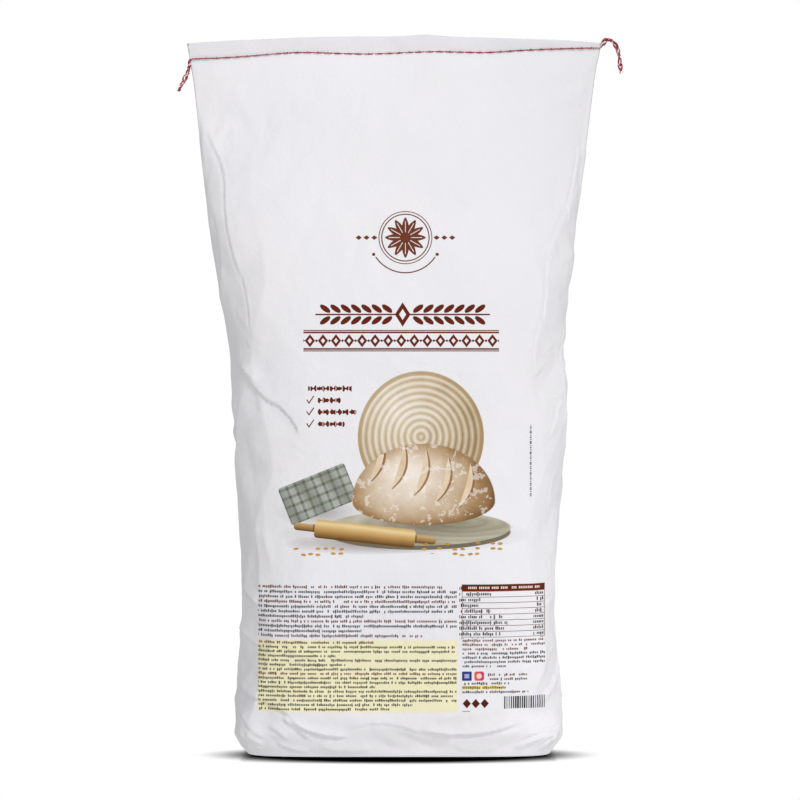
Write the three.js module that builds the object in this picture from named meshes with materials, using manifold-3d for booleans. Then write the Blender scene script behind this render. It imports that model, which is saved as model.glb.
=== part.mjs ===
// A paper sack that holds five kilograms of dried sourdough. It is a flat paper tube with a pasted
// flat base: filled, sewn shut across the top with a two-colour thread, and stood on its base.
//
// Millimetres, +Z up. The origin is on the floor below the middle of the sack, the front faces -Y.
// Paper doesn't stretch, so every level of the sack keeps the girth of the flat tube: where the
// sack gets narrower it has to get deeper, and the section is solved from that.

import * as THREE from 'three';
import { mergeVertices } from 'three/addons/utils/BufferGeometryUtils.js';
import Module from 'manifold-3d';

// ---------------------------------------------------------------- driving dimensions

const FLAT_WIDTH = 300; // the empty tube, laid flat
const GIRTH = 2 * FLAT_WIDTH;

const HEM_THICKNESS = 1.6; // the paper of both faces, pressed together above the stitches

// Levels of the filled sack. squareness is the exponent that the depth takes in the section.
const LEVELS = [
  { height: 0, halfWidth: 118.6, drift: 0.2, halfDepth: 50, squareness: 3.4 },
  { height: 36, halfWidth: 119.1, drift: 0.2, halfDepth: 52.5, squareness: 3.0 },
  { height: 109, halfWidth: 113.5, drift: -0.2, halfDepth: 60, squareness: 2.4 },
  { height: 182, halfWidth: 117.9, drift: 0.4, halfDepth: 56.5, squareness: 2.4 },
  { height: 262, halfWidth: 122.4, drift: 0.9, halfDepth: 53, squareness: 2.2 },
  { height: 291, halfWidth: 121.9, drift: -1.3, halfDepth: 51, squareness: 2.0 },
  { height: 365, halfWidth: 131.7, drift: -4.0, halfDepth: 37.5, squareness: 1.5 },
  { height: 438, halfWidth: 140.6, drift: -3.8, halfDepth: 21, squareness: 1.3 },
  { height: 490, halfWidth: 146.4, drift: -3.0, halfDepth: 7.5, squareness: 1.15 },
  { height: 509, halfWidth: 150, drift: -2.5, halfDepth: HEM_THICKNESS / 2, squareness: 1.0 },
];

// The base: how far the sack draws in over its last few millimetres, to the flat that it stands on.
const BASE_EDGE_HEIGHT = 17;
const BASE_INSET_WIDTH = 13;
const BASE_INSET_DEPTH = 9;

// The mouth: the stitch line climbs to the right, and the paper above it is the hem.
const SEAM_HEIGHT = 509;
const SEAM_CLIMB = 8;
const HEM_TOP = 521.5;
const HEM_CORNER_DROP = 4.8; // the top edge is this much lower at its two corners
const HEM_GATHER = { x: 20, rise: 1.5, reach: 13 }; // a small peak in the top edge
const MOUTH_BLEND = 70; // height below the seam over which its climb and its waves fade out
const MOUTH_WAVES = [
  { depth: 1.3, length: 31, phase: 0.6 },
  { depth: 0.8, length: 13.7, phase: 2.1 },
]; // the closed mouth isn't quite straight seen from above

// Creases: each runs from, through a bend, to an end, in X and Z as seen from its own side.
// rise is how far it stands out of the sheet, or sinks into it, and reach is its half width.
const FRONT_CREASES = [
  { from: [-121, 286], bend: [-88, 260], to: [-72, 228], rise: -5.5, reach: 17 }, // deep tuck
  { from: [-112, 300], bend: [-74, 276], to: [-58, 240], rise: 3.0, reach: 18 }, // its lip
  { from: [130, 436], bend: [108, 352], to: [100, 276], rise: 3.2, reach: 15 }, // long side ridge
  { from: [100, 292], bend: [116, 280], to: [96, 262], rise: -3.5, reach: 12 },
  { from: [118, 266], bend: [96, 252], to: [74, 240], rise: -2.2, reach: 15 },
  { from: [-116, 56], bend: [-76, 28], to: [-36, 21], rise: 2.6, reach: 11 },
  { from: [-110, 96], bend: [-84, 70], to: [-50, 60], rise: -2.0, reach: 13 },
  { from: [115, 64], bend: [90, 32], to: [12, 19], rise: 3.0, reach: 11 },
  { from: [112, 114], bend: [92, 98], to: [66, 86], rise: 2.2, reach: 12 },
  { from: [-60, 42], bend: [0, 22], to: [62, 48], rise: -1.8, reach: 12 },
];
const BACK_CREASES = [
  { from: [-118, 300], bend: [-78, 262], to: [-66, 222], rise: -4.5, reach: 18 },
  { from: [120, 318], bend: [96, 276], to: [60, 256], rise: -3.6, reach: 17 },
  { from: [-128, 430], bend: [-108, 356], to: [-102, 290], rise: 2.8, reach: 15 },
  { from: [-112, 66], bend: [-66, 30], to: [0, 24], rise: 2.8, reach: 12 },
  { from: [112, 88], bend: [78, 46], to: [20, 36], rise: 2.4, reach: 13 },
];
const CREASE_FADE = 0.12; // share of a crease's length over which each end starts faded

// Slow unevenness of the filling under the paper, and where the paper is drawn too tight for it.
const SWELL = { height: 1.5, across: 37, up: 41, slanted: 23, slow: 29 };
const CALM_ABOVE_FLOOR = 26;
const CALM_SIDE_SHARE = 0.1; // share of a face's half, next to the side crease

// The sewing thread: a chain stitch, with a short chain left hanging at each end.
const THREAD_DIAMETER = 1.2;
const THREAD_GAP = 0.32; // clear of the paper
const STITCH_PITCH = 7.4;
const STITCH_BOW = 0.4; // how far each stitch stands off between its needle holes
const RUN_PAST_EDGE = 1.7;
const CHAIN_HALF_WIDTH = 1.05;
const CHAIN_PHASE = 0.5; // how far into a loop the chain leaves the paper
const LEFT_TAIL = [[-155.6, 503.6], [-157.2, 497], [-158.8, 490], [-161.2, 482]]; // X, Z
const RIGHT_TAIL = [[150.6, 514.4], [152.2, 519.4], [158.2, 517], [162.2, 508.5], [162.4, 494]];

// How finely each piece is faceted.
const FRONT_COLUMNS = 46;
const BACK_COLUMNS = 26;
const BASE_EDGE_ROWS = [0, 0.12, 0.36, 0.68]; // as shares of BASE_EDGE_HEIGHT
const BODY_ROW_HEIGHT = 8.8;
const HEM_ROWS = 2;
const THREAD_SIDES = 5;
const STEPS_PER_STITCH = 2;
const STEPS_PER_LOOP = 5;
const SECTION_SAMPLES = 90;
const CREASE_STOPS = 14;
const SQUAREST_SECTION = 60; // the highest exponents that a section may take, by its width
const SQUAREST_BASE = 6;
const WELD = 1e-4; // corners closer than this are one

// Colours.
const PAPER_WHITE = 0xe9e8ea;
const THREAD_RED = 0xa83a4c;

// ---------------------------------------------------------------- small helpers

const clamp01 = (value) => Math.min(1, Math.max(0, value));

const smooth = (value) => {
  const t = clamp01(value);
  return t * t * (3 - 2 * t);
};

// A smooth curve through one column of LEVELS, as a function of height.
function levelCurve(key) {
  const slopes = LEVELS.map((level, i) => {
    const below = LEVELS[Math.max(i - 1, 0)];
    const above = LEVELS[Math.min(i + 1, LEVELS.length - 1)];
    return (above[key] - below[key]) / (above.height - below.height);
  });
  return (z) => {
    let i = 0;
    while (i < LEVELS.length - 2 && z > LEVELS[i + 1].height) i += 1;
    const low = LEVELS[i];
    const high = LEVELS[i + 1];
    const span = high.height - low.height;
    const t = clamp01((z - low.height) / span);
    const t2 = t * t;
    const t3 = t2 * t;
    return (
      (2 * t3 - 3 * t2 + 1) * low[key] +
      (t3 - 2 * t2 + t) * span * slopes[i] +
      (3 * t2 - 2 * t3) * high[key] +
      (t3 - t2) * span * slopes[i + 1]
    );
  };
}

const halfWidthAt = levelCurve('halfWidth');
const halfDepthAt = levelCurve('halfDepth');
const squarenessAt = levelCurve('squareness');
const driftAt = levelCurve('drift');

// How far the base edge draws in at a height: 0 above it, 1 on the floor.
const baseDraw = (z) => 1 - Math.sqrt(1 - Math.pow(1 - clamp01(z / BASE_EDGE_HEIGHT), 2));

// ---------------------------------------------------------------- the section of the sack

// A quarter of |x/a|^p + |y/b|^q = 1, from (0, b) to (a, 0), with its length at each point.
function quarterSection(a, b, p, q) {
  const points = [];
  for (let i = 0; i <= SECTION_SAMPLES; i += 1) {
    const turn = ((Math.PI / 2) * i) / SECTION_SAMPLES;
    const x = a * Math.sin(turn);
    const y = b * Math.cos(turn);
    points.push([x, b * Math.pow(Math.max(1 - Math.pow(x / a, p), 0), 1 / q)]);
    points.push([a * Math.pow(Math.max(1 - Math.pow(y / b, q), 0), 1 / p), y]);
  }
  points.sort((one, other) => one[0] - other[0] || other[1] - one[1]);
  const lengths = [0];
  for (let i = 1; i < points.length; i += 1) {
    const step = Math.hypot(points[i][0] - points[i - 1][0], points[i][1] - points[i - 1][1]);
    lengths.push(lengths[i - 1] + step);
  }
  return { points, lengths, total: lengths[lengths.length - 1] };
}

// The quarter whose exponent p makes the whole section as long as the paper's girth.
function sectionAt(z) {
  const a = halfWidthAt(z) - BASE_INSET_WIDTH * baseDraw(z);
  const b = halfDepthAt(z) - BASE_INSET_DEPTH * baseDraw(z);
  const q = squarenessAt(z);
  let low = 1.6;
  let high = z < BASE_EDGE_HEIGHT ? SQUAREST_BASE : SQUAREST_SECTION;
  while (high - low > 1e-6) {
    const middle = (low + high) / 2;
    if (quarterSection(a, b, middle, q).total < GIRTH / 4) low = middle;
    else high = middle;
  }
  return quarterSection(a, b, low, q);
}

// The point of a quarter at a share of its length, from the middle of the face to the side crease.
function pointOnQuarter(quarter, share) {
  const target = clamp01(share) * quarter.total;
  let i = 1;
  while (i < quarter.lengths.length - 1 && quarter.lengths[i] < target) i += 1;
  const span = quarter.lengths[i] - quarter.lengths[i - 1];
  const t = span > 1e-9 ? (target - quarter.lengths[i - 1]) / span : 0;
  const [x0, y0] = quarter.points[i - 1];
  const [x1, y1] = quarter.points[i];
  return [x0 + (x1 - x0) * t, y0 + (y1 - y0) * t];
}

// ---------------------------------------------------------------- mouth, creases and unevenness

const mouthBlend = (z) => smooth(1 - (SEAM_HEIGHT - z) / MOUTH_BLEND);

const seamHeightAt = (x) => SEAM_HEIGHT + (SEAM_CLIMB * x) / FLAT_WIDTH;

const hemTopAt = (x) => {
  const side = (2 * x) / FLAT_WIDTH;
  const gather = Math.exp(-Math.pow((x - HEM_GATHER.x) / HEM_GATHER.reach, 2));
  return HEM_TOP - HEM_CORNER_DROP * side * side + HEM_GATHER.rise * gather;
};

const mouthWave = (x) =>
  MOUTH_WAVES.reduce((sum, wave) => sum + wave.depth * Math.sin(x / wave.length + wave.phase), 0);

function makeCrease({ from, bend, to, rise, reach }) {
  const route = new THREE.QuadraticBezierCurve(
    new THREE.Vector2(...from),
    new THREE.Vector2(...bend),
    new THREE.Vector2(...to),
  );
  const stops = route.getPoints(CREASE_STOPS);
  return (x, z) => {
    let nearest = Infinity;
    let along = 0;
    stops.forEach((stop, i) => {
      const distance = Math.hypot(x - stop.x, z - stop.y);
      if (distance < nearest) {
        nearest = distance;
        along = i / CREASE_STOPS;
      }
    });
    const taper = Math.sin(Math.PI * (CREASE_FADE + (1 - 2 * CREASE_FADE) * along));
    return rise * Math.pow(taper, 0.7) * smooth(1 - nearest / reach);
  };
}

const frontCreases = FRONT_CREASES.map(makeCrease);
const backCreases = BACK_CREASES.map(makeCrease);

// How far the paper stands off the plain section, on the front (side -1) or the back (side +1).
function relief(x, z, side, share) {
  const seenX = side < 0 ? x : -x;
  const creases = side < 0 ? frontCreases : backCreases;
  const folds = creases.reduce((sum, crease) => sum + crease(seenX, z), 0);
  const broad = Math.sin(x / SWELL.across + 1.3 * side) * Math.sin(z / SWELL.up + 0.7 * side);
  const slanted = Math.sin((x + z) / SWELL.slanted + 2 * side) * Math.cos(z / SWELL.slow);
  const aboveBase = smooth(z / CALM_ABOVE_FLOOR);
  const belowSeam = smooth((SEAM_HEIGHT - z) / MOUTH_BLEND);
  const offSide = smooth((1 - share) / CALM_SIDE_SHARE);
  return (folds + SWELL.height * (broad + 0.6 * slanted)) * aboveBase * belowSeam * offSide;
}

// ---------------------------------------------------------------- the sack

// The girth as columns: side is -1 on the front and +1 on the back, and turn goes from -1 at one
// side crease over 0 at the middle of the face to +1 at the other.
function girthColumns() {
  const columns = [];
  for (let i = 0; i < FRONT_COLUMNS; i += 1) {
    columns.push({ side: -1, turn: -1 + (2 * i) / FRONT_COLUMNS });
  }
  for (let i = 0; i < BACK_COLUMNS; i += 1) {
    columns.push({ side: 1, turn: 1 - (2 * i) / BACK_COLUMNS });
  }
  return columns;
}

function sackPoint(column, quarter, z) {
  const share = Math.abs(column.turn);
  const [reachX, reachY] = pointOnQuarter(quarter, share);
  const sideways = Math.sign(column.turn) * reachX;
  const x = sideways + driftAt(z);
  const out = relief(x, z, column.side, share);
  const y = column.side * (reachY + out) + mouthWave(x) * mouthBlend(z);
  const climb = ((SEAM_CLIMB * x) / FLAT_WIDTH) * mouthBlend(z);
  return new THREE.Vector3(x, y, z + climb);
}

function hemPoint(column, quarter, rise) {
  const point = sackPoint(column, quarter, SEAM_HEIGHT);
  point.z += (hemTopAt(point.x) - point.z) * rise;
  return point;
}

function sackRings() {
  const columns = girthColumns();
  const rings = [];
  const levels = BASE_EDGE_ROWS.map((share) => share * BASE_EDGE_HEIGHT);
  const bodyRows = Math.round((SEAM_HEIGHT - BASE_EDGE_HEIGHT) / BODY_ROW_HEIGHT);
  for (let i = 0; i <= bodyRows; i += 1) {
    levels.push(BASE_EDGE_HEIGHT + ((SEAM_HEIGHT - BASE_EDGE_HEIGHT) * i) / bodyRows);
  }
  levels.forEach((z) => {
    const quarter = sectionAt(z);
    rings.push(columns.map((column) => sackPoint(column, quarter, z)));
  });
  const mouth = sectionAt(SEAM_HEIGHT);
  for (let row = 1; row <= HEM_ROWS; row += 1) {
    rings.push(columns.map((column) => hemPoint(column, mouth, row / HEM_ROWS)));
  }
  return rings;
}

// Stitches two rings together, with each diagonal laid along the shorter way, so that it follows
// the creases instead of cutting across them.
function joinRings(triangles, lower, upper) {
  const count = lower.length;
  for (let i = 0; i < count; i += 1) {
    const j = (i + 1) % count;
    const [a, b, c, d] = [lower[i], lower[j], upper[j], upper[i]];
    if (a.distanceTo(c) <= b.distanceTo(d)) triangles.push([a, b, c], [a, c, d]);
    else triangles.push([a, b, d], [b, c, d]);
  }
}

// Closes a ring with strips between its front and its back.
function capRing(triangles, ring, facesUp) {
  const front = ring.slice(0, FRONT_COLUMNS + 1);
  const back = [ring[0], ...ring.slice(FRONT_COLUMNS).reverse()];
  let f = 0;
  let b = 0;
  while (f < front.length - 1 || b < back.length - 1) {
    const nextFront = f < front.length - 1 ? front[f + 1].x : Infinity;
    const nextBack = b < back.length - 1 ? back[b + 1].x : Infinity;
    const [p, q] = [front[f], back[b]];
    let triangle;
    if (nextFront <= nextBack) {
      triangle = [p, front[f + 1], q];
      f += 1;
    } else {
      triangle = [p, back[b + 1], q];
      b += 1;
    }
    const isReal = new Set(triangle).size === 3;
    if (isReal) triangles.push(facesUp ? triangle : triangle.reverse());
  }
}

function makeSack() {
  const rings = sackRings();
  const triangles = [];
  for (let i = 1; i < rings.length; i += 1) joinRings(triangles, rings[i - 1], rings[i]);
  capRing(triangles, rings[0], false);
  capRing(triangles, rings[rings.length - 1], true);
  return new THREE.BufferGeometry().setFromPoints(triangles.flat());
}

// ---------------------------------------------------------------- the sewing thread

// One of the two strands of the seam. side -1 runs along the front of the hem and +1 along its
// back, and past the paper both weave round each other into the chain that hangs at each end.
class SeamStrand extends THREE.Curve {
  constructor(side) {
    super();
    this.side = side;
    const edge = halfWidthAt(SEAM_HEIGHT);
    this.startX = driftAt(SEAM_HEIGHT) - edge - RUN_PAST_EDGE;
    this.endX = driftAt(SEAM_HEIGHT) + edge + RUN_PAST_EDGE;
    this.leftTail = this.tailCurve(this.startX, LEFT_TAIL);
    this.rightTail = this.tailCurve(this.endX, RIGHT_TAIL);
    this.leftLength = this.leftTail.getLength();
    this.rightLength = this.rightTail.getLength();
    this.leftSteps = Math.round((this.leftLength / STITCH_PITCH) * STEPS_PER_LOOP);
    this.rightSteps = Math.round((this.rightLength / STITCH_PITCH) * STEPS_PER_LOOP);
    this.stitches = Math.round((this.endX - this.startX) / STITCH_PITCH);
    this.runSteps = this.stitches * STEPS_PER_STITCH;
    this.steps = this.leftSteps + this.runSteps + this.rightSteps;
  }

  // The tails turn more sharply than the run does, so they get more steps for their length.
  getUtoTmapping(u) {
    return u;
  }

  tailCurve(x, stops) {
    const points = [[x, seamHeightAt(x)], ...stops].map(
      ([stopX, stopZ]) => new THREE.Vector3(stopX, mouthWave(x), stopZ),
    );
    return new THREE.CatmullRomCurve3(points, false, 'centripetal');
  }

  pointOnTail(tail, total, walked) {
    const share = clamp01(walked / total);
    const point = tail.getPointAt(share);
    const heading = tail.getTangentAt(share);
    const across = new THREE.Vector3(-heading.z, 0, heading.x);
    const weave = Math.sin((Math.PI * walked) / STITCH_PITCH + CHAIN_PHASE);
    const settle = smooth((2 * walked) / STITCH_PITCH);
    point.addScaledVector(across, this.side * CHAIN_HALF_WIDTH * weave * settle);
    point.y += this.side * this.standOff() * (1 - settle);
    return point;
  }

  standOff() {
    return HEM_THICKNESS / 2 + THREAD_GAP + THREAD_DIAMETER / 2;
  }

  getPoint(t, target = new THREE.Vector3()) {
    const step = t * this.steps;
    if (step < this.leftSteps) {
      const walked = this.leftLength * (1 - step / this.leftSteps);
      return target.copy(this.pointOnTail(this.leftTail, this.leftLength, walked));
    }
    const along = (step - this.leftSteps) / this.runSteps;
    if (along > 1) {
      const walked = (this.rightLength * (along - 1) * this.runSteps) / this.rightSteps;
      return target.copy(this.pointOnTail(this.rightTail, this.rightLength, walked));
    }
    const x = this.startX + (this.endX - this.startX) * along;
    const bow = STITCH_BOW * Math.abs(Math.sin(Math.PI * along * this.stitches));
    const y = mouthWave(x) + this.side * (this.standOff() + bow);
    return target.set(x, y, seamHeightAt(x));
  }
}

function strandGeometry(side) {
  const route = new SeamStrand(side);
  const section = new THREE.Shape();
  for (let i = 0; i < THREAD_SIDES; i += 1) {
    const turn = (2 * Math.PI * i) / THREAD_SIDES;
    const x = (THREAD_DIAMETER / 2) * Math.cos(turn);
    const y = (THREAD_DIAMETER / 2) * Math.sin(turn);
    if (i === 0) section.moveTo(x, y);
    else section.lineTo(x, y);
  }
  section.closePath();
  const options = { steps: route.steps, extrudePath: route, bevelEnabled: false };
  return new THREE.ExtrudeGeometry(section, options);
}

// ---------------------------------------------------------------- closed solids

const wasm = await Module();
wasm.setup();

function toManifold(geometry) {
  const bare = geometry.clone();
  bare.deleteAttribute('normal');
  bare.deleteAttribute('uv');
  const merged = mergeVertices(bare, WELD);
  return new wasm.Manifold(
    new wasm.Mesh({
      numProp: 3,
      vertProperties: new Float32Array(merged.attributes.position.array),
      triVerts: new Uint32Array(merged.index.array),
    }),
  );
}

function toGeometry(manifold) {
  const { vertProperties, triVerts } = manifold.getMesh();
  const geometry = new THREE.BufferGeometry();
  geometry.setAttribute('position', new THREE.BufferAttribute(vertProperties, 3));
  geometry.setIndex(new THREE.BufferAttribute(triVerts, 1));
  geometry.computeVertexNormals();
  return geometry;
}

function makeThread() {
  return toGeometry(toManifold(strandGeometry(-1)).add(toManifold(strandGeometry(1))));
}

// ---------------------------------------------------------------- the object

const paper = new THREE.MeshStandardMaterial({ color: PAPER_WHITE, roughness: 0.72, metalness: 0 });
const cotton = new THREE.MeshStandardMaterial({ color: THREAD_RED, roughness: 0.85, metalness: 0 });

const sack = new THREE.Mesh(mergeVertices(makeSack(), WELD), paper);
sack.name = 'sack';

const thread = new THREE.Mesh(makeThread(), cotton);
thread.name = 'seam_thread';

const object = new THREE.Group();
object.add(sack, thread);

export default object;
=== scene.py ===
# %% [markdown]
# # A paper sack of dried sourdough
#
# This lesson dresses a plain solid model of a filled paper sack. The solid says where everything
# is and how big it is. Here the paper gets its folds, its crumpled skin and its print, and the
# mouth gets a real sewing thread. Everything is in metres once it is a Blender object, but the
# sack is worked out in millimetres, because that is how paper is measured.

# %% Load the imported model
from math import atan2, cos, degrees, hypot, pi, radians, sin

import bpy
import numpy as np
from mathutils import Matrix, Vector


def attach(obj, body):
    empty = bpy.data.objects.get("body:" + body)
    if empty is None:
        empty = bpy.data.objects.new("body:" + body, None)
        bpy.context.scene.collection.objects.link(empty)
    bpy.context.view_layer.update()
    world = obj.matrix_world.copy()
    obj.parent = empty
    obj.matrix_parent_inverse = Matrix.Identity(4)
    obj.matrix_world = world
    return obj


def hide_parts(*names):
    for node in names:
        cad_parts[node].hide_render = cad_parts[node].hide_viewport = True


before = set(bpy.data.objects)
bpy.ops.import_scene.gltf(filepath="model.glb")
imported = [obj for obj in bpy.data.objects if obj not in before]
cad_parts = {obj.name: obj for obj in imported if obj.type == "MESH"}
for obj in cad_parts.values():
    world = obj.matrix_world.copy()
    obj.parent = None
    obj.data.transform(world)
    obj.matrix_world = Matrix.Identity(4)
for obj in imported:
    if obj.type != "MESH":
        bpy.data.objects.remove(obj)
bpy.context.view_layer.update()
MM = 0.001

# %% [markdown]
# ## The studio
#
# The sack was photographed straight on, from far away, in a big soft light, and stands before pure
# white. Lamps all round could do that, but a lamp strong enough to whiten the backdrop would also
# flood the sack, and white paper needs shade to show its folds. So the camera sees a white world,
# while the light that reaches the sack from it is dimmer and depends on the direction. One lamp
# at the upper right gives the folds their bright and dark sides. The floor glows, as studio paper
# does when it is lit to white, but only the camera sees it. A glowing floor shows no shadow, so
# the glow is turned down in an oval under the sack, and once more close before and behind it.

# %% Camera
CAMERA_DISTANCE = 2.4
CAMERA_HEIGHT = 0.2562
CAMERA_X = 0.0011
VIEW_WIDTH = 0.584  # what the picture spans at the middle of the sack
SENSOR = 36.0

camera_data = bpy.data.cameras.new("camera")
camera_data.sensor_width = SENSOR
camera_data.lens = SENSOR * CAMERA_DISTANCE / VIEW_WIDTH
camera = bpy.data.objects.new("camera", camera_data)
camera.location = (CAMERA_X, -CAMERA_DISTANCE, CAMERA_HEIGHT)
camera.rotation_euler = (radians(90), 0, 0)
bpy.context.scene.collection.objects.link(camera)
bpy.context.scene.camera = camera
print("lens", round(camera_data.lens, 1), "mm")

# %% [markdown]
# Materials and the world are made of nodes. Sums of nodes are easier to read as sums, so a small
# class wraps a socket: adding, multiplying or comparing two of them adds the Math node that does
# it. Every other kind of node comes from its one method `node`.


# %% Sums of sockets
class Sock:
    """An output socket that can stand in a sum."""

    def __init__(self, tree, out=None):
        self.tree = tree
        self.out = out

    def node(self, kind, settings=None, inputs=None, output=0):
        made = self.tree.nodes.new(kind)
        for name, value in (settings or {}).items():
            if name == "stops":
                ramp = made.color_ramp
                while len(ramp.elements) < len(value):
                    ramp.elements.new(1.0)
                for element, (place, colour) in zip(ramp.elements, value):
                    element.position = place
                    element.color = colour
            else:
                setattr(made, name, value)
        for name, value in (inputs or {}).items():
            if isinstance(value, Sock):
                self.tree.links.new(value.out, made.inputs[name])
            else:
                made.inputs[name].default_value = value
        return Sock(self.tree, made.outputs[output])

    def math(self, operation, *others, clamp=False):
        inputs = dict(enumerate((self, *others)))
        return self.node("ShaderNodeMath", {"operation": operation, "use_clamp": clamp}, inputs)

    def vector(self, operation, *others):
        """The same for a vector. Its length is a number, which is the node's second output."""
        inputs = dict(enumerate((self, *others)))
        output = 1 if operation == "LENGTH" else 0
        return self.node("ShaderNodeVectorMath", {"operation": operation}, inputs, output)

    def other(self, output):
        """Another output of the same node."""
        return Sock(self.tree, self.out.node.outputs[output])

    def __add__(self, other):
        return self.math("ADD", other)

    __radd__ = __add__

    def __sub__(self, other):
        return self.math("SUBTRACT", other)

    def __rsub__(self, other):
        return (self * -1.0) + other

    def __mul__(self, other):
        return self.math("MULTIPLY", other)

    __rmul__ = __mul__

    def __pow__(self, other):
        return self.math("POWER", other)

    def __abs__(self):
        return self.math("ABSOLUTE")

    def __lt__(self, other):
        return self.math("LESS_THAN", other)

    def __gt__(self, other):
        return self.math("GREATER_THAN", other)

    def clamp(self):
        return self.math("ADD", 0.0, clamp=True)


def grey(value):
    """A plain colour, the same in its three channels."""
    return (value, value, value, 1.0)


def srgb(red, green, blue):
    """A colour given as screen values from 0 to 255, as the linear light that nodes work in."""
    linear = [((v / 255 + 0.055) / 1.055) ** 2.4 if v > 10 else v / 3295 for v in (red, green, blue)]
    return (*linear, 1.0)


def start_material(name, roughness, **constants):
    """A material with its shader, and an empty Sock to start sums from."""
    material = bpy.data.materials.new(name)
    material.use_nodes = True
    shader = material.node_tree.nodes["Principled BSDF"]
    shader.inputs["Roughness"].default_value = roughness
    for key, value in constants.items():
        shader.inputs[key.replace("_", " ")].default_value = value
    return material, shader, Sock(material.node_tree)


def feed(shader, name, sock):
    """Links a Sock to one of the shader's inputs."""
    sock.tree.links.new(sock.out, shader.inputs[name])


def mix(factor, first, second):
    """first where factor is 0 and second where it is 1, both colours."""
    return factor.node("ShaderNodeMix", {"data_type": "RGBA"}, {0: factor, 6: first, 7: second}, 2)


def disk_lamp(name, size, watts, place, towards_lamp):
    """A round lamp at a place. towards_lamp is the way to it from what it lights."""
    data = bpy.data.lights.new(name, "AREA")
    data.shape = "DISK"
    data.size = size
    data.energy = watts
    lamp = bpy.data.objects.new(name, data)
    lamp.location = place
    lamp.rotation_euler = towards_lamp.to_track_quat("Z", "Y").to_euler()
    bpy.context.scene.collection.objects.link(lamp)
    return lamp


# %% World, floor and key light
WORLD_LEVEL = 0.68  # brightness of the light from all round
WORLD_FRONT = 0.17  # how much more comes from the front, from the right and from above
WORLD_RIGHT = 0.12
WORLD_UP = -0.10
KEY_WATTS = 20.0
KEY_SIZE = 0.7
KEY_DISTANCE = 2.4
KEY_TURN = radians(24)  # to the right of the camera
KEY_RISE = radians(36)
SACK_MIDDLE = Vector((0.0, 0.0, 0.27))
FLOOR_SIZE = 14.0
SHADOW_HALF_X, SHADOW_HALF_Y, SHADOW_FRONT = 0.150, 0.068, 0.025  # the shadow's oval on the floor
SHADOW_CORE = 0.65  # inside this share of the oval it is darkest
CONTACT_REACH = 0.04  # how near the sack darkens the floor before and behind it
CONTACT_SAMPLES, CONTACT_POWER = 8, 3.0
BESIDE_FROM, BESIDE_BLEND = 0.104, 0.01  # from this x on, a point is beside the sack

world = bpy.data.worlds.new("studio")
bpy.context.scene.world = world
world.use_nodes = True
sky = Sock(world.node_tree)
look = sky.node("ShaderNodeTexCoord", output="Generated")
look_x = look.node("ShaderNodeSeparateXYZ", inputs={0: look})
from_behind, from_above = look_x.other(1), look_x.other(2)
soft_light = look_x * WORLD_RIGHT - from_behind * WORLD_FRONT + from_above * WORLD_UP + WORLD_LEVEL
seen = sky.node("ShaderNodeLightPath", output="Is Camera Ray")
backing = world.node_tree.nodes["Background"]
backing.inputs["Color"].default_value = grey(1.0)
strength = (1.0 - seen) * soft_light.math("MAXIMUM", 0.0) + seen
world.node_tree.links.new(strength.out, backing.inputs["Strength"])

bpy.ops.object.select_all(action="DESELECT")
bpy.ops.mesh.primitive_plane_add(size=FLOOR_SIZE, location=(0, 0, 0))
floor = bpy.context.object
floor.name = "floor"
floor_paper, floor_shader, floor_sum = start_material("studio_paper", 0.9)
floor_spot = floor_sum.node("ShaderNodeTexCoord", output="Object")
floor_x = floor_spot.node("ShaderNodeSeparateXYZ", inputs={0: floor_spot})
floor_y = floor_x.other(1)
oval_x = floor_x * (1 / SHADOW_HALF_X)
oval_y = (floor_y + SHADOW_FRONT) * (1 / SHADOW_HALF_Y)
oval = (oval_x**2.0 + oval_y**2.0) ** 0.5
oval_inputs = {"Value": oval, "From Min": SHADOW_CORE, "From Max": 1.0}
oval_glow = oval.node("ShaderNodeMapRange", {"interpolation_type": "SMOOTHSTEP"}, oval_inputs)
contact = {"Distance": CONTACT_REACH}
open_sky = floor_sum.node("ShaderNodeAmbientOcclusion", {"samples": CONTACT_SAMPLES}, contact, "AO")
beside = (abs(floor_x) * (1 / BESIDE_BLEND) - BESIDE_FROM / BESIDE_BLEND).clamp()
glow = oval_glow * (open_sky**CONTACT_POWER).math("MAXIMUM", beside)
glow_colour = floor_sum.node("ShaderNodeCombineColor", inputs={0: glow, 1: glow, 2: glow})
floor_shader.inputs["Base Color"].default_value = grey(0.0)
floor_shader.inputs["Specular IOR Level"].default_value = 0.0
floor_shader.inputs["Emission Strength"].default_value = 1.0
feed(floor_shader, "Emission Color", glow_colour)
floor.data.materials.append(floor_paper)
floor.visible_diffuse = False
floor.visible_glossy = False

key_way = Vector((sin(KEY_TURN) * cos(KEY_RISE), -cos(KEY_TURN) * cos(KEY_RISE), sin(KEY_RISE)))
disk_lamp("key", KEY_SIZE, KEY_WATTS, SACK_MIDDLE + KEY_DISTANCE * key_way, key_way)
bpy.context.scene.view_settings.view_transform = "Standard"
print("world, floor and key light")

# %% [markdown]
# Two small things finish the light. In the photo the sack's upper right is greyer than the rest and
# its lower right corner brighter. A photographer gets that with a dark card, held beside the sack
# just outside the picture, and a weak small lamp low down. Neither is seen by the camera.

# %% Dark card and corner lamp
CARD_SIZE = 0.25
CARD_PLACE = (0.33, -0.12, 0.50)
CORNER_WATTS, CORNER_SIZE = 0.022, 0.05
CORNER_PLACE = Vector((0.225, -0.16, 0.028))
CORNER_AIM = Vector((0.105, -0.03, 0.02))

bpy.ops.object.select_all(action="DESELECT")
bpy.ops.mesh.primitive_plane_add(size=CARD_SIZE, location=CARD_PLACE, rotation=(0, radians(90), 0))
card = bpy.context.object
card.name = "dark_card"
card_paint, _, _ = start_material("black_card", 1.0, Base_Color=grey(0.01), Specular_IOR_Level=0.0)
card.data.materials.append(card_paint)
card.visible_camera = False

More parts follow.
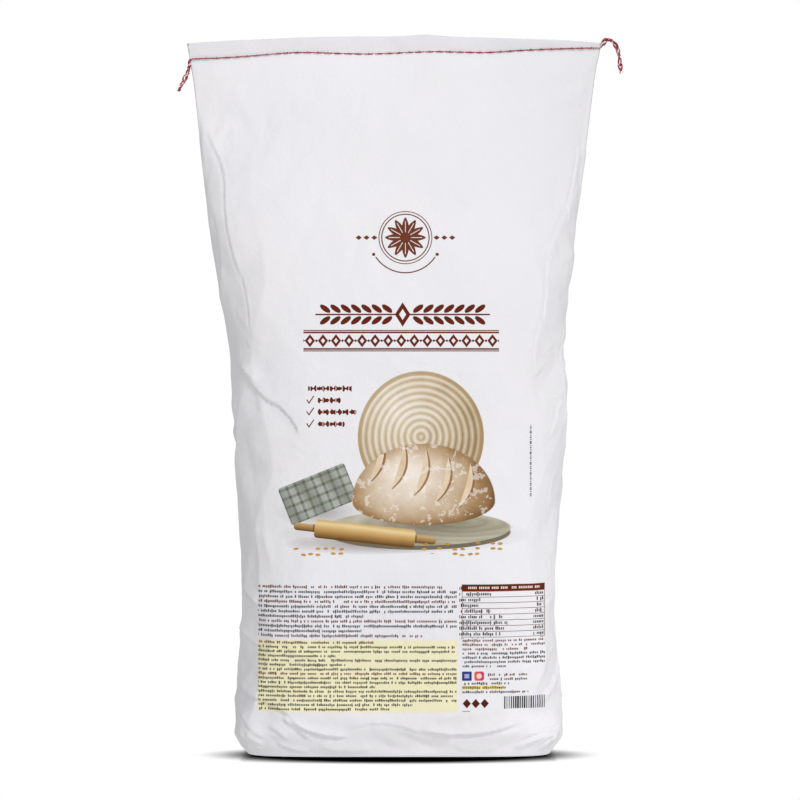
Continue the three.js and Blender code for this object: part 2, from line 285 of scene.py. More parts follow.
corner_lamp = disk_lamp("corner", CORNER_SIZE, CORNER_WATTS, CORNER_PLACE, CORNER_PLACE - CORNER_AIM)
corner_lamp.visible_camera = False
print("studio ready")

# %% [markdown]
# ## The form of the filled sack
#
# The real sack starts as a flat paper tube, 300 mm wide, with a pasted base. Filled, it bulges.
# Paper bends but doesn't stretch, and that one fact gives its whole form: at every height the
# way round it stays 600 mm, so a level that is narrower must be deeper. A lofted shell could be
# drawn by eye instead, but then the print would stretch and the form would look like rubber.
# So each level has a width and a depth, and a formula finds the section with the right girth.

# %% Levels and sections
FLAT_WIDTH = 300.0
GIRTH = 2 * FLAT_WIDTH
HEM_THICKNESS = 1.6
SECTION_SAMPLES = 200
HEIGHT, HALF_WIDTH, DRIFT, HALF_DEPTH, SQUARENESS = range(5)
LEVELS = np.array([
    (0, 118.6, 0.2, 50, 3.4),
    (36, 119.1, 0.2, 52.5, 3.0),
    (109, 113.5, -0.2, 60, 2.4),
    (182, 117.9, 0.4, 56.5, 2.4),
    (262, 122.4, 0.9, 53, 2.2),
    (291, 121.9, -1.3, 51, 2.0),
    (365, 131.7, -4.0, 37.5, 1.5),
    (438, 140.6, -3.8, 21, 1.3),
    (490, 146.4, -3.0, 7.5, 1.15),
    (509, 150, -2.5, HEM_THICKNESS / 2, 1.0),
])
SIDE_EDGE_HEIGHT, SIDE_EDGE_INSET, SIDE_EDGE_CURVE = 15.0, 8.5, 1.5  # the base edge at the sides
FRONT_EDGE_HEIGHT, FRONT_EDGE_INSET, FRONT_EDGE_CURVE = 30.0, 10.0, 1.3  # and in front and behind
CREASE_FROM, CREASE_TO = 320.0, 480.0  # above, the sides sharpen to the creases of the flat tube
SMALLEST_EXPONENT, LARGEST_EXPONENT, CREASED_EXPONENT = 1.6, 6.0, 2.0
EXPONENT_STEP = 1e-4  # how closely the exponent is found
SEAM_HEIGHT = 509.0
SEAM_CLIMB = 8.0
SEAM_BOWS = ((-76.0, 34.0, 2.5), (16.0, 24.0, 0.8), (64.0, 18.0, -0.9))  # where, how wide and how far
MOUTH_BLEND = 70.0
MOUTH_WAVES = ((1.3, 31.0, 0.6), (0.8, 13.7, 2.1))  # depth, length and phase
HEM_TOP, HEM_HEIGHT, HEM_CORNER_DROP = 521.5, 13.0, 4.8
GATHER_X, GATHER_REACH, GATHER_RISE = 20.0, 13.0, 1.5  # a small peak in the cut edge


def smooth(value):
    """0 below 0, 1 above 1, and an S-curve between."""
    t = np.clip(value, 0.0, 1.0)
    return t * t * (3 - 2 * t)


def level(column, z):
    """One column of LEVELS as a smooth curve over the height."""
    heights = LEVELS[:, HEIGHT]
    values = LEVELS[:, column]
    slopes = np.empty_like(values)
    slopes[1:-1] = (values[2:] - values[:-2]) / (heights[2:] - heights[:-2])
    slopes[0] = (values[1] - values[0]) / (heights[1] - heights[0])
    slopes[-1] = (values[-1] - values[-2]) / (heights[-1] - heights[-2])
    i = np.clip(np.searchsorted(heights, z) - 1, 0, len(heights) - 2)
    span = heights[i + 1] - heights[i]
    t = np.clip((z - heights[i]) / span, 0, 1)
    low = (2 * t**3 - 3 * t**2 + 1) * values[i] + (t**3 - 2 * t**2 + t) * span * slopes[i]
    high = (3 * t**2 - 2 * t**3) * values[i + 1] + (t**3 - t**2) * span * slopes[i + 1]
    return low + high


def quarter(a, b, p, q):
    """A quarter of |x/a|^p + |y/b|^q = 1 from (0, b) to (a, 0), with the length walked."""
    turn = np.linspace(0, pi / 2, SECTION_SAMPLES + 1)
    x_even, y_even = a * np.sin(turn), b * np.cos(turn)
    x = np.concatenate([x_even, a * np.maximum(1 - (y_even / b) ** q, 0) ** (1 / p)])
    y = np.concatenate([b * np.maximum(1 - (x_even / a) ** p, 0) ** (1 / q), y_even])
    order = np.lexsort((-y, x))
    x, y = x[order], y[order]
    walked = np.concatenate([[0], np.cumsum(np.hypot(np.diff(x), np.diff(y)))])
    return x, y, walked


def section(z):
    """The quarter at a height whose whole girth is that of the paper."""
    side_inset = SIDE_EDGE_INSET * max(1 - z / SIDE_EDGE_HEIGHT, 0) ** SIDE_EDGE_CURVE
    front_inset = FRONT_EDGE_INSET * max(1 - z / FRONT_EDGE_HEIGHT, 0) ** FRONT_EDGE_CURVE
    a = float(level(HALF_WIDTH, z)) - side_inset
    b = float(level(HALF_DEPTH, z)) - front_inset
    q = float(level(SQUARENESS, z))
    low, high = SMALLEST_EXPONENT, LARGEST_EXPONENT
    if z >= CREASE_FROM:
        below_crease = float(smooth((CREASE_TO - z) / (CREASE_TO - CREASE_FROM)))
        high = CREASED_EXPONENT + (LARGEST_EXPONENT - CREASED_EXPONENT) * below_crease
    while high - low > EXPONENT_STEP:
        middle = (low + high) / 2
        if quarter(a, b, middle, q)[2][-1] < GIRTH / 4:
            low = middle
        else:
            high = middle
    return quarter(a, b, low, q)


def mouth_blend(z):
    """1 at the seam, and 0 where the closed mouth no longer shapes the sack."""
    return smooth(1 - (SEAM_HEIGHT - z) / MOUTH_BLEND)


def mouth_wave(x):
    """How far the closed mouth swings back and forth, seen from above."""
    return sum(depth * np.sin(x / length + phase) for depth, length, phase in MOUTH_WAVES)


def seam_line(x):
    """Height of the stitches, which climb to the right and bow a little."""
    bows = sum(rise * np.exp(-(((x - middle) / width) ** 2)) for middle, width, rise in SEAM_BOWS)
    return SEAM_HEIGHT + SEAM_CLIMB * x / FLAT_WIDTH + bows


def hem_top(x):
    """Height of the cut edge of the paper."""
    gather = GATHER_RISE * np.exp(-(((x - GATHER_X) / GATHER_REACH) ** 2))
    return HEM_TOP - HEM_CORNER_DROP * (2 * x / FLAT_WIDTH) ** 2 + gather


# %% [markdown]
# ## Rolling the sheet
#
# The sheet is a flat grid, and it is rolled up column by column: its columns go once round the
# sack, starting at the left edge, and its rows climb from the glued patch under the base, round
# the base edge, up the faces, past the stitches to the cut edge, and a little way back down
# inside the hem, so that the two lips of the mouth are real. The front gets more columns than
# the back. As the rolled grid keeps its rows and columns, every later step can work on plain
# arrays: `place[row, column]` is a point and `around` and `height` are its paper coordinates.

# %% Rows and columns
FRONT_COLUMNS = 246
BACK_COLUMNS = 72
COLUMNS = FRONT_COLUMNS + BACK_COLUMNS
TUBE_ROWS = 290
PAPER = 0.35  # thickness of one face's paper in the hem
STITCHED_HALF = 0.8  # half thickness of the hem where the thread holds it
HEM_FLARE, FLARE_FROM, FLARE_WIDTH = 1.8, 125.0, 25.0  # how far the hem's left corner leans out
LIP_PARTING = 1.1  # how far each lip of the hem stands off at most
AT_CREASE = 0.999  # from this turn on, a column lies in a side crease
SIDE_CROWDING = 0.42  # how much closer the front's columns lie towards the sides
BASE_ROWS_TO, TUCK_MIDDLE, TUCK_REACH = 125, 255, 42  # where the rows lie closer

# Closer columns towards the sides, and closer rows over the base and at the tuck, for the folds.
front_share = np.linspace(-1, 1, FRONT_COLUMNS + 1)[:-1]
front_turn = (1 + SIDE_CROWDING) * front_share - SIDE_CROWDING * front_share * np.abs(front_share)
back_turn = 1 - 2 * np.arange(BACK_COLUMNS) / BACK_COLUMNS
turn = np.concatenate([front_turn, back_turn])
side = np.concatenate([-np.ones(FRONT_COLUMNS), np.ones(BACK_COLUMNS)])
around = np.where(side < 0, turn, 2 - turn) * FLAT_WIDTH / 2  # -150 to 150 in front, 150 to 450 behind

base_shares = np.array([0.16, 0.3, 0.45, 0.58, 0.7, 0.8, 0.88, 0.95])
fine_heights = np.linspace(0, SEAM_HEIGHT, 2000)
at_tuck = np.abs(fine_heights - TUCK_MIDDLE) < TUCK_REACH
row_density = 1.0 + 1.5 * (fine_heights < BASE_ROWS_TO) + 1.1 * at_tuck
climbed = np.concatenate([[0], np.cumsum(row_density[1:])])
tube_heights = np.interp(np.linspace(0, climbed[-1], TUBE_ROWS), climbed, fine_heights)
hem_shares = np.linspace(0, 1, 8)[1:]
lip_shares = np.array([1.0, 0.96, 0.7, 0.45])
ROWS = len(base_shares) + len(tube_heights) + len(hem_shares) + len(lip_shares)
FIRST_TUBE = len(base_shares)
SEAM_ROW = FIRST_TUBE + len(tube_heights) - 1
print("sheet of", ROWS, "rows by", COLUMNS, "columns,", 2 * (ROWS - 1) * COLUMNS, "triangles")


# %% Roll the sheet
def tube_row(z):
    """One level of the sack as points, in millimetres."""
    x_quarter, y_quarter, walked = section(z)
    target = np.abs(turn) * walked[-1]
    x = np.sign(turn) * np.interp(target, walked, x_quarter) + level(DRIFT, z)
    y = side * np.interp(target, walked, y_quarter) + mouth_wave(x) * mouth_blend(z)
    climb = (seam_line(x) - SEAM_HEIGHT) * mouth_blend(z)
    return np.stack([x, y, z + climb], axis=1)


def hem_row(share, inside):
    """A level of the hem: 0 at the stitches, 1 at the cut edge, on the paper's outer or inner face."""
    points = tube_row(SEAM_HEIGHT)
    x = points[:, 0]
    points[:, 2] += (hem_top(x) - points[:, 2]) * share
    points[:, 0] -= HEM_FLARE * share * smooth((-x - FLARE_FROM) / FLARE_WIDTH)
    off_side = smooth((1 - np.abs(turn)) / 0.16)
    parted = 0.55 + 0.45 * np.sin(x / 19 + 1.0) * np.sin(x / 7.3)
    lip = STITCHED_HALF + LIP_PARTING * parted * smooth(share) * off_side
    lip -= (PAPER if inside else 0.0) * np.where(np.abs(turn) > AT_CREASE, 0.3, 1.0)
    to_edge = smooth((1 - np.abs(turn)) / 0.05)
    slim = np.where(np.abs(turn) > AT_CREASE, 0.0, side * np.maximum(lip * to_edge, 0.06))
    points[:, 1] = mouth_wave(x) + slim
    return points


base_ring = tube_row(0.0)
rows = [base_ring * np.array([share, share, 1.0]) for share in base_shares]
rows += [tube_row(z) for z in tube_heights]
rows += [hem_row(share, False) for share in hem_shares]
rows += [hem_row(share, True) for share in lip_shares]
place = np.array(rows)
height = np.concatenate([
    np.zeros(len(base_shares)),
    tube_heights,
    SEAM_HEIGHT + HEM_HEIGHT * hem_shares,
    SEAM_HEIGHT + HEM_HEIGHT + HEM_HEIGHT * (1 - lip_shares) + 0.2,
])
print("plain sack", place.min(axis=(0, 1)).round(1), place.max(axis=(0, 1)).round(1))

# %% [markdown]
# ## Facets
#
# Paper doesn't wrinkle softly like cloth. It keeps flat facets and breaks along lines between
# them. Where a filled sack turns round its sides, the paper can't follow the curve: it stays
# flat from one ridge to the next. To get that, a net of triangles with random heights is laid
# over the sheet, and the rolled form is drawn towards the flat triangles. Modelling every facet
# by hand would look the same and take a day.

# %% A net of triangles over the sheet
random = np.random.default_rng(11)
around_grid = np.broadcast_to(around, (ROWS, COLUMNS))
height_grid = np.broadcast_to(height[:, None], (ROWS, COLUMNS))
turn_grid = np.broadcast_to(np.abs(turn), (ROWS, COLUMNS))
on_tube = np.zeros((ROWS, COLUMNS), dtype=bool)
on_tube[FIRST_TUBE:SEAM_ROW + 1] = True


def crumple_net(cell, warp):
    """Nodes, weights and the spot of every node, for an irregular net with cells of that size."""
    across, up = round(GIRTH / cell), int(540 / cell) + 3
    p = random.uniform(0, 2 * pi, 4)
    s, z = around_grid / cell, height_grid / cell
    u = s + warp * np.sin(1.9 * z + p[0] + np.sin(1.3 * s + p[1]))
    v = z + warp * np.sin(2.1 * s + p[2] + np.sin(1.7 * z + p[3])) + 1
    u = (u + FLAT_WIDTH / cell) * across * cell / GIRTH
    v = np.clip(v, 0, up - 2.001)
    i, j = np.floor(u).astype(int), np.floor(v).astype(int)
    f, g = u - i, v - j
    corner = [j * across + i % across, j * across + (i + 1) % across]
    corner += [n + across for n in corner]
    rising = (random.random((up, across)) > 0.5)[j, i % across]
    lower = np.where(rising, f > g, f + g < 1)
    weights = np.select(
        [rising & lower, rising & ~lower, ~rising & lower],
        [
            np.array([1 - f, f - g, 0 * f, g]),
            np.array([1 - g, 0 * f, g - f, f]),
            np.array([1 - f - g, f, g, 0 * f]),
        ],
        np.array([0 * f, 1 - g, 1 - f, f + g - 1]),
    )
    near = np.rint(v).astype(int) * across + np.rint(u).astype(int) % across
    apart = np.hypot(u - np.rint(u), v - np.rint(v)).ravel()
    order = np.argsort(-apart)
    spot = np.zeros(up * across, dtype=int)
    spot[near.ravel()[order]] = order
    return np.array(corner), weights, spot


def facet_heights(cell, warp, rise):
    """Random heights at the nodes, joined by flat triangles."""
    corner, weights, spot = crumple_net(cell, warp)
    heights = random.uniform(-rise, rise, len(spot))
    return (heights[corner] * weights).sum(axis=0)


# %% Draw the rolled form towards flat facets
FACET_CELL, FACET_WARP = 40.0, 0.22
FLATNESS, MORE_AT_SIDES = 0.34, 0.26  # 1 would be quite flat
SPREAD_ROWS, SPREAD_REACH = 7, 24
net_corners, net_weights, net_spot = crumple_net(FACET_CELL, FACET_WARP)
flat_place = (place.reshape(-1, 3)[net_spot][net_corners] * net_weights[..., None]).sum(axis=0)
round_side = smooth((turn_grid - 0.50) / 0.25) * smooth((360 - height_grid) / 120)
how_flat = FLATNESS + MORE_AT_SIDES * round_side
how_flat *= smooth((SEAM_HEIGHT - 12 - height_grid) / 120) * smooth((height_grid - 14) / 30) * on_tube
how_flat *= 1 - 0.8 * smooth((turn_grid - 0.86) / 0.10) * smooth((height_grid - 300) / 100)
before = place.copy()
place += (flat_place - place) * how_flat[..., None]

lost = np.zeros((2, ROWS))  # how much narrower each row is, at its left and at its right
spread = np.exp(-0.5 * (np.arange(-SPREAD_REACH, SPREAD_REACH + 1) / SPREAD_ROWS) ** 2)
spread /= spread.sum()


def keep_width():
    """Brings each row of the tube back to its width before the facets, softly over the rows.

    The rows outside the tube aren't measured, and keep what the last call spread to them.
    """
    for row in range(FIRST_TUBE, SEAM_ROW):
        lost[0, row] = before[row, :, 0].min() - place[row, :, 0].min()
        lost[1, row] = before[row, :, 0].max() - place[row, :, 0].max()
    for row_losses, sign in ((lost[0], -1), (lost[1], 1)):
        row_losses[:] = np.convolve(row_losses, spread, mode="same")
        place[:, :, 0] += row_losses[:, None] * smooth(sign * turn)[None, :]


# Flat facets cut the corners of the outline, so each row is widened back.
keep_width()
print("facets move the form by", np.abs(place - before).max().round(2), "mm at most")

# %% [markdown]
# ## Folds
#
# A ridge is a crest with a fall on both sides, and a tuck is a step where one facet slides under
# the other. Both are drawn as arcs on the sheet, with a height that falls off with the distance
# from the arc, and they are pushed out along the sheet's own normal. The large ones are placed
# one by one, as the photo shows them. A cloth simulation would make folds too, but not in these
# places. The arcs are given as they are seen from the front, in millimetres.

# %% A tool for folds
relief = np.zeros((ROWS, COLUMNS))
slip = np.zeros((ROWS, COLUMNS, 2))  # how far a tuck pulls its high side over its low side
SLIP_REACH = 3.5
RIM, RIM_HALF = 0.25, 1.0  # the pinched edge of a crest
GROOVE, GROOVE_HALF, GROOVE_AWAY = 0.5, 1.1, 2.0  # and the hollow line beside it
RIM_UP_TO_TUCK = 0.7  # a fold that is more of a step than this has neither
SLIP_FROM_TUCK, SLIP_BACK = 0.5, -0.4  # a step slips, and its low side a little the other way
CREST_SCALE = 0.7
FOLD_STOPS = 21


def on_sheet(x, z):
    """Where a point that is seen at x, z on the front lies round the sheet."""
    row = FIRST_TUBE + int(np.argmin(np.abs(tube_heights - z)))
    seen = np.maximum.accumulate(place[row, :FRONT_COLUMNS, 0])
    return float(np.interp(x, seen, around[:FRONT_COLUMNS]))


def fold(points, rise, left, right, crest=0.9, tuck=0.0, fade=0.2, back=False):
    """Adds a fold along an arc from, through and to the points.

    left and right are how wide it is on each side of its direction, crest rounds its top, and
    tuck turns it from a ridge (0) into a step (1) that is high on its left side.
    """
    start, through, end = (
        np.array([FLAT_WIDTH + x if back else on_sheet(x, z), z], dtype=float) for x, z in points
    )
    bend = 2 * through - (start + end) / 2
    t = np.linspace(0, 1, FOLD_STOPS)[:, None]
    arc = (1 - t) ** 2 * start + 2 * t * (1 - t) * bend + t**2 * end
    reach = 2 * max(left, right) + 2
    low, high = arc.min(axis=0) - reach, arc.max(axis=0) + reach
    near = (around_grid > low[0]) & (around_grid < high[0]) & on_tube
    near &= (height_grid > low[1]) & (height_grid < high[1])
    spots = np.stack([around_grid[near], height_grid[near]], axis=1)
    step = arc[1:] - arc[:-1]
    away = spots[:, None, :] - arc[None, :-1, :]
    share = np.clip((away * step).sum(-1) / (step**2).sum(-1), 0, 1)
    gap = away - share[..., None] * step
    distance = np.hypot(gap[..., 0], gap[..., 1])
    nearest = distance.argmin(axis=1)
    each = np.arange(len(spots))
    d = distance[each, nearest]
    turned = step[nearest, 0] * away[each, nearest, 1] - step[nearest, 1] * away[each, nearest, 0]
    hand = np.where(turned > 0, 1.0, -1.0)
    along = (nearest + share[each, nearest]) / len(step)
    taper = smooth(along / fade) * smooth((1 - along) / fade)
    width = np.where(hand > 0, left, right)
    crest *= CREST_SCALE
    body = np.maximum(1 - (np.sqrt(d**2 + crest**2) - crest) / (2 * width), 0) ** 2
    relief[near] += rise * taper * body * (1 - tuck + tuck * np.tanh(hand * d / crest))
    if rise > 0 and tuck < RIM_UP_TO_TUCK:
        relief[near] += RIM * rise * taper * np.exp(-((d / RIM_HALF) ** 2))
        relief[near] -= GROOVE * rise * taper * np.exp(-(((hand * d + GROOVE_AWAY) / GROOVE_HALF) ** 2))
    if abs(tuck) > SLIP_FROM_TUCK:
        over = np.where(hand * tuck > 0, 1.0, SLIP_BACK) * np.maximum(1 - d / SLIP_REACH, 0)
        to_low = np.stack([step[nearest, 1], -step[nearest, 0]], axis=1) * np.sign(tuck)
        to_low /= np.linalg.norm(to_low, axis=1, keepdims=True)
        slip[near] += (abs(rise) * taper * over)[:, None] * to_low


# %% The tuck at the left and the slack below it
fold([(-121, 288), (-115, 280), (-108, 269)], 0.75, 10, 7, 0.6, tuck=0.8)
fold([(-111, 272), (-102, 262), (-88, 252)], 0.85, 9, 8, 0.5, tuck=0.9)
fold([(-98, 259), (-80, 248), (-71, 229)], 0.95, 20, 10, 0.5, tuck=0.85)
fold([(-114, 281), (-109, 275), (-102, 267)], 1.3, 6, 4, 0.8)
fold([(-107, 266), (-104, 255), (-102, 244)], -0.9, 5, 5, 1.2)
fold([(-98, 256), (-86, 246), (-79, 232)], -0.8, 8, 8, 2.5)
fold([(-76, 226), (-70, 220), (-62, 216)], 0.5, 5, 6, 1.0)
fold([(-118, 238), (-109, 220), (-106, 196)], -1.2, 9, 9, 2.5)
fold([(-108, 190), (-104, 156), (-109, 124)], -1.0, 9, 9, 2.5)
fold([(-120, 327), (-109, 309), (-94, 295)], 0.9, 12, 10, 1.6)
fold([(-104, 318), (-88, 306), (-70, 309)], -0.6, 12, 12, 2.5)
print("tuck, highest", relief.max().round(2), "lowest", relief.min().round(2))

# %% The side band at the left, and the broken ridge at the right
fold([(-139, 452), (-128, 428), (-124, 396)], 1.6, 14, 9, 0.9, fade=0.1)
fold([(-124, 402), (-120, 372), (-112, 345)], 1.6, 16, 8, 0.7, fade=0.12)
fold([(-113, 350), (-108, 328), (-106, 305)], 1.1, 12, 8, 0.9)
fold([(-140, 470), (-126, 462), (-108, 466)], -0.7, 12, 12, 2.0)
fold([(-136, 440), (-110, 452), (-86, 446)], -0.8, 14, 14, 3.0)
fold([(132, 442), (128, 414), (122, 392)], 1.5, 16, 9, 0.6, fade=0.1)
fold([(123, 396), (116, 379), (110, 364)], 1.9, 18, 9, 0.5, fade=0.1)
fold([(110, 364), (107, 338), (104, 312)], 1.4, 16, 9, 0.7, fade=0.1)
fold([(104, 316), (100, 302), (99, 288)], 1.7, 14, 9, 0.5, fade=0.12)
fold([(99, 292), (99, 281), (103, 273)], 1.4, 10, 8, 0.5)
fold([(106, 367), (111, 365), (115, 367)], 1.3, 3, 4, 0.4, fade=0.3)
fold([(111, 366), (109, 360), (108, 352)], 0.9, 3, 4, 0.4, fade=0.3)
fold([(116, 353), (122, 360), (130, 363)], 1.2, 8, 8, 0.6)
fold([(113, 364), (120, 369), (128, 378)], -0.9, 7, 7, 0.8)
fold([(102, 276), (109, 270), (117, 288)], -1.6, 7, 6, 0.6)
fold([(107, 294), (112, 300), (121, 302)], 1.3, 7, 9, 0.7)
fold([(119, 279), (101, 258), (70, 243)], -1.1, 15, 15, 2.2, fade=0.3)
fold([(121, 260), (112, 256), (103, 254)], 1.0, 6, 6, 0.7)
fold([(120, 256), (114, 242), (109, 228)], 1.2, 6, 8, 0.6)
fold([(117, 412), (124, 414), (134, 419)], 0.9, 7, 7, 0.8)
fold([(115, 330), (121, 335), (128, 341)], -0.9, 8, 8, 0.9)
fold([(120, 216), (112, 200), (112, 176)], 0.8, 10, 9, 1.2)
fold([(118, 160), (110, 146), (111, 124)], 0.8, 9, 9, 1.4)
print("with the sides, highest", relief.max().round(2), "lowest", relief.min().round(2))

# %% [markdown]
# The bottom of a standing sack carries the load. The front sags over the base edge, and the paper
# that is too long there gathers in shallow folds that cross each other. Most start at a corner
# and run down towards the middle, so each pair makes a smile.

# %% The sagging folds over the base
fold([(-113, 122), (-107, 115), (-101, 109)], 1.8, 6, 5, 0.5, tuck=0.45)
fold([(-74, 99), (-66, 93), (-55, 85)], -0.8, 4, 4, 0.8)
fold([(-66, 95), (-55, 87), (-43, 80)], -0.8, 4, 4, 0.8)
fold([(-64, 86), (-57, 79), (-50, 73)], -0.8, 3, 3, 0.8)
fold([(-117, 60), (-98, 41), (-74, 28)], 1.7, 8, 9, 0.6, tuck=0.3)
fold([(-84, 29), (-74, 22), (-62, 13)], 1.7, 3.5, 4, 0.4, tuck=0.45)
fold([(-78, 29), (-61, 19), (-34, 16)], 2.4, 3.5, 5, 0.4, tuck=0.45)
fold([(-94, 22), (-87, 19), (-79, 13)], 1.3, 3, 4, 0.4, tuck=0.45)
fold([(-102, 28), (-90, 13), (-74, 3)], -1.0, 5, 5, 0.8)
fold([(-116, 20), (-107, 11), (-98, 4)], 1.8, 5, 4, 0.5)
fold([(-109, 17), (-103, 12), (-98, 10)], 1.4, 3, 3, 0.4)
fold([(-89, 11), (-76, 6), (-62, 3)], 1.5, 3, 4, 0.4, tuck=0.4)
fold([(-113, 34), (-106, 21), (-95, 13)], 1.2, 5, 5, 0.7)
fold([(-39, 20), (-10, 26), (23, 15)], 1.2, 6, 7, 0.8)
fold([(-17, 15), (-6, 7), (9, 1)], -0.9, 4, 4, 0.8)
fold([(-2, 18), (15, 10), (32, 1)], -1.2, 5, 5, 0.8)
fold([(15, 21), (28, 16), (42, 17)], 1.3, 5, 5, 0.7)
fold([(-59, 12), (-38, 4), (-17, 8)], 0.9, 5, 5, 1.0)
fold([(38, 10), (55, 4), (73, 8)], 0.9, 5, 5, 1.0)
fold([(118, 60), (107, 48), (92, 36)], 2.3, 7, 6, 0.4, tuck=0.48)
fold([(13, 22), (51, 17), (92, 27)], 2.1, 6, 6, 0.5, tuck=0.45)
fold([(112, 115), (92, 100), (63, 83)], 1.6, 10, 10, 0.9, tuck=0.25)
fold([(109, 54), (95, 43), (78, 31)], -1.2, 4, 5, 0.7)
fold([(118, 21), (102, 14), (82, 6)], 2.2, 6, 5, 0.4, tuck=0.45)
fold([(94, 19), (82, 10), (70, 0)], -1.0, 5, 5, 0.8)
fold([(114, 18), (107, 10), (101, 3)], 1.7, 5, 5, 0.6)
fold([(104, 23), (109, 16), (111, 7)], 1.4, 5, 5, 0.6)
fold([(62, 44), (45, 33), (26, 28)], 0.9, 6, 6, 1.0)
fold([(-116, 96), (-100, 82), (-84, 78)], 1.2, 8, 8, 0.9)
fold([(-80, 142), (-30, 130), (30, 138)], 0.8, 14, 14, 3.0, fade=0.35)
fold([(114, 84), (100, 68), (84, 60)], 1.0, 8, 8, 0.9)
print("with the sag, highest", relief.max().round(2), "lowest", relief.min().round(2))

# %% [markdown]
# The back can't be seen in the photo. Such a sack has a glued overlap down its back, so the sheet
# steps up there, and it slumps as the front does, with folds of its own. The arcs of the back are
# given as seen from behind.

# %% Folds of the back
fold([(-124, 306), (-84, 270), (-64, 220)], 1.9, 20, 12, 0.6, tuck=0.75, back=True)
fold([(124, 322), (98, 282), (58, 254)], 1.7, 14, 16, 0.7, tuck=-0.6, back=True)
fold([(-130, 440), (-116, 370), (-108, 300)], 1.6, 16, 10, 0.7, back=True)
fold([(134, 450), (120, 400), (112, 336)], 1.5, 10, 16, 0.7, back=True)
fold([(-122, 72), (-76, 34), (-10, 24)], 1.5, 8, 9, 0.6, tuck=0.3, back=True)
fold([(-112, 44), (-80, 20), (-40, 14)], 1.1, 6, 7, 0.7, back=True)
fold([(122, 88), (84, 44), (20, 32)], 1.5, 8, 9, 0.6, tuck=-0.3, back=True)
fold([(114, 46), (82, 24), (44, 12)], 1.1, 6, 7, 0.7, back=True)
fold([(-100, 150), (-40, 132), (40, 142)], 0.8, 14, 14, 2.5, fade=0.3, back=True)
fold([(60, 220), (84, 200), (112, 206)], 1.0, 10, 10, 1.2, back=True)
fold([(-96, 206), (-70, 190), (-40, 196)], -0.9, 12, 12, 2.0, fade=0.3, back=True)

# Folds round the two sides, which the photo doesn't show either.
SIDE_FOLDS = 13
for side_middle in (FLAT_WIDTH / 2, 3 * FLAT_WIDTH / 2):
    for _ in range(SIDE_FOLDS):
        s0 = side_middle + random.uniform(-22, 22) - FLAT_WIDTH
        z0 = random.uniform(20, 430)
        lean, drop = random.uniform(-26, 26), random.uniform(8, 42)
        ends = [(s0, z0), (s0 + lean / 2, z0 - drop / 2 - 3), (s0 + lean, z0 - drop)]
        fold(ends, random.choice([-1.2, -0.9, 1.1, 1.4]), 8, 8, 0.7, back=True)
print("all folds, highest", relief.max().round(2), "lowest", relief.min().round(2))

# %% [markdown]
# ## The crumpled skin
#
# Handled paper is covered in small facets and short creases. Random heights on finer nets give
# the facets, and some hundreds of straight creases are scattered over the sheet. Everything draws
# from one seeded generator, so it is the same every time. The paper is calm along the hem.


# %% Fine facets, short creases and pleats
def short_creases(count, shortest, longest, rise, reach):
    """Scatters straight creases of random length and direction."""
    total = np.zeros((ROWS, COLUMNS))
    for _ in range(count):
        s0 = random.uniform(-FLAT_WIDTH / 2, GIRTH - FLAT_WIDTH / 2)
        z0 = random.uniform(4, SEAM_HEIGHT)
        length = random.uniform(shortest, longest)
        slant = random.normal(pi / 2, 0.7)
        strength = random.normal(0, 0.6) * rise
        half = length / 2 + 3 * reach
        columns = np.nonzero(np.abs(around - s0) < half)[0]
        levels = np.nonzero(np.abs(height[FIRST_TUBE:SEAM_ROW] - z0) < half)[0] + FIRST_TUBE
        ds = around[columns][None, :] - s0
        dz = height[levels][:, None] - z0
        walked = ds * cos(slant) + dz * sin(slant)
        off = np.abs(dz * cos(slant) - ds * sin(slant))
        ends = smooth(1 - np.abs(walked) / (length / 2 + reach))
        total[np.ix_(levels, columns)] += strength * ends * np.maximum(1 - off / (2 * reach), 0) ** 2
    return total


near_side = smooth((turn_grid - 0.55) / 0.3)
near_base = smooth((150 - height_grid) / 110)
handled = 1 + 0.45 * np.maximum(near_side, near_base)
skin = facet_heights(58.0, 0.25, 1.6)
skin += facet_heights(29.0, 0.25, 0.7) * handled
skin += facet_heights(14.5, 0.22, 0.26) * handled
skin += facet_heights(7.0, 0.2, 0.09) * handled
skin += short_creases(700, 4, 16, 0.5, 1.5) + short_creases(170, 18, 60, 0.6, 4.0) * handled

# The corners over the base were pushed about most, and the side edges a little.
at_corner = smooth((turn_grid - 0.62) / 0.12) * smooth((150 - height_grid) / 60)
at_side = smooth((turn_grid - 0.72) / 0.15)
skin += facet_heights(17.0, 0.28, 0.9) * at_corner + facet_heights(8.5, 0.25, 0.38) * at_corner
skin += facet_heights(21.0, 0.28, 0.5) * at_side + facet_heights(11.0, 0.25, 0.2) * at_side
seen_x = place[:, :, 0]
side_grid = np.broadcast_to(side, (ROWS, COLUMNS))
broad = np.sin(seen_x / 37 + 1.3 * side_grid) * np.sin(height_grid / 41 + 0.7 * side_grid)
slanted = np.sin((seen_x + height_grid) / 23 + 2 * side_grid) * np.cos(height_grid / 29)
SWELL = 0.7  # how far the uneven filling stands out
swell = SWELL * (broad + 0.6 * slanted) * smooth((SEAM_HEIGHT - height_grid) / MOUTH_BLEND)

# Between its needle holes the thread lets the paper puff out, in small pleats that fade.
below_seam = np.maximum(SEAM_HEIGHT - height_grid, 0)
pleats = 0.16 * np.exp(-below_seam / 12) * np.sin(seen_x / 4.3 + 1.4 * np.sin(seen_x / 23))
pleats += 0.5 * np.exp(-(((below_seam - 9) / 8) ** 2))
calm_hem = smooth((SEAM_HEIGHT + 2 - height_grid) / 26)
calm_base = smooth(height_grid / 8)
calm_rim = smooth((1 - turn_grid) / 0.03)
total = ((relief + skin * calm_rim + swell * calm_rim) * calm_hem * calm_base + pleats * calm_rim) * on_tube
total[1:-1] = (total[:-2] + 10 * total[1:-1] + total[2:]) / 12

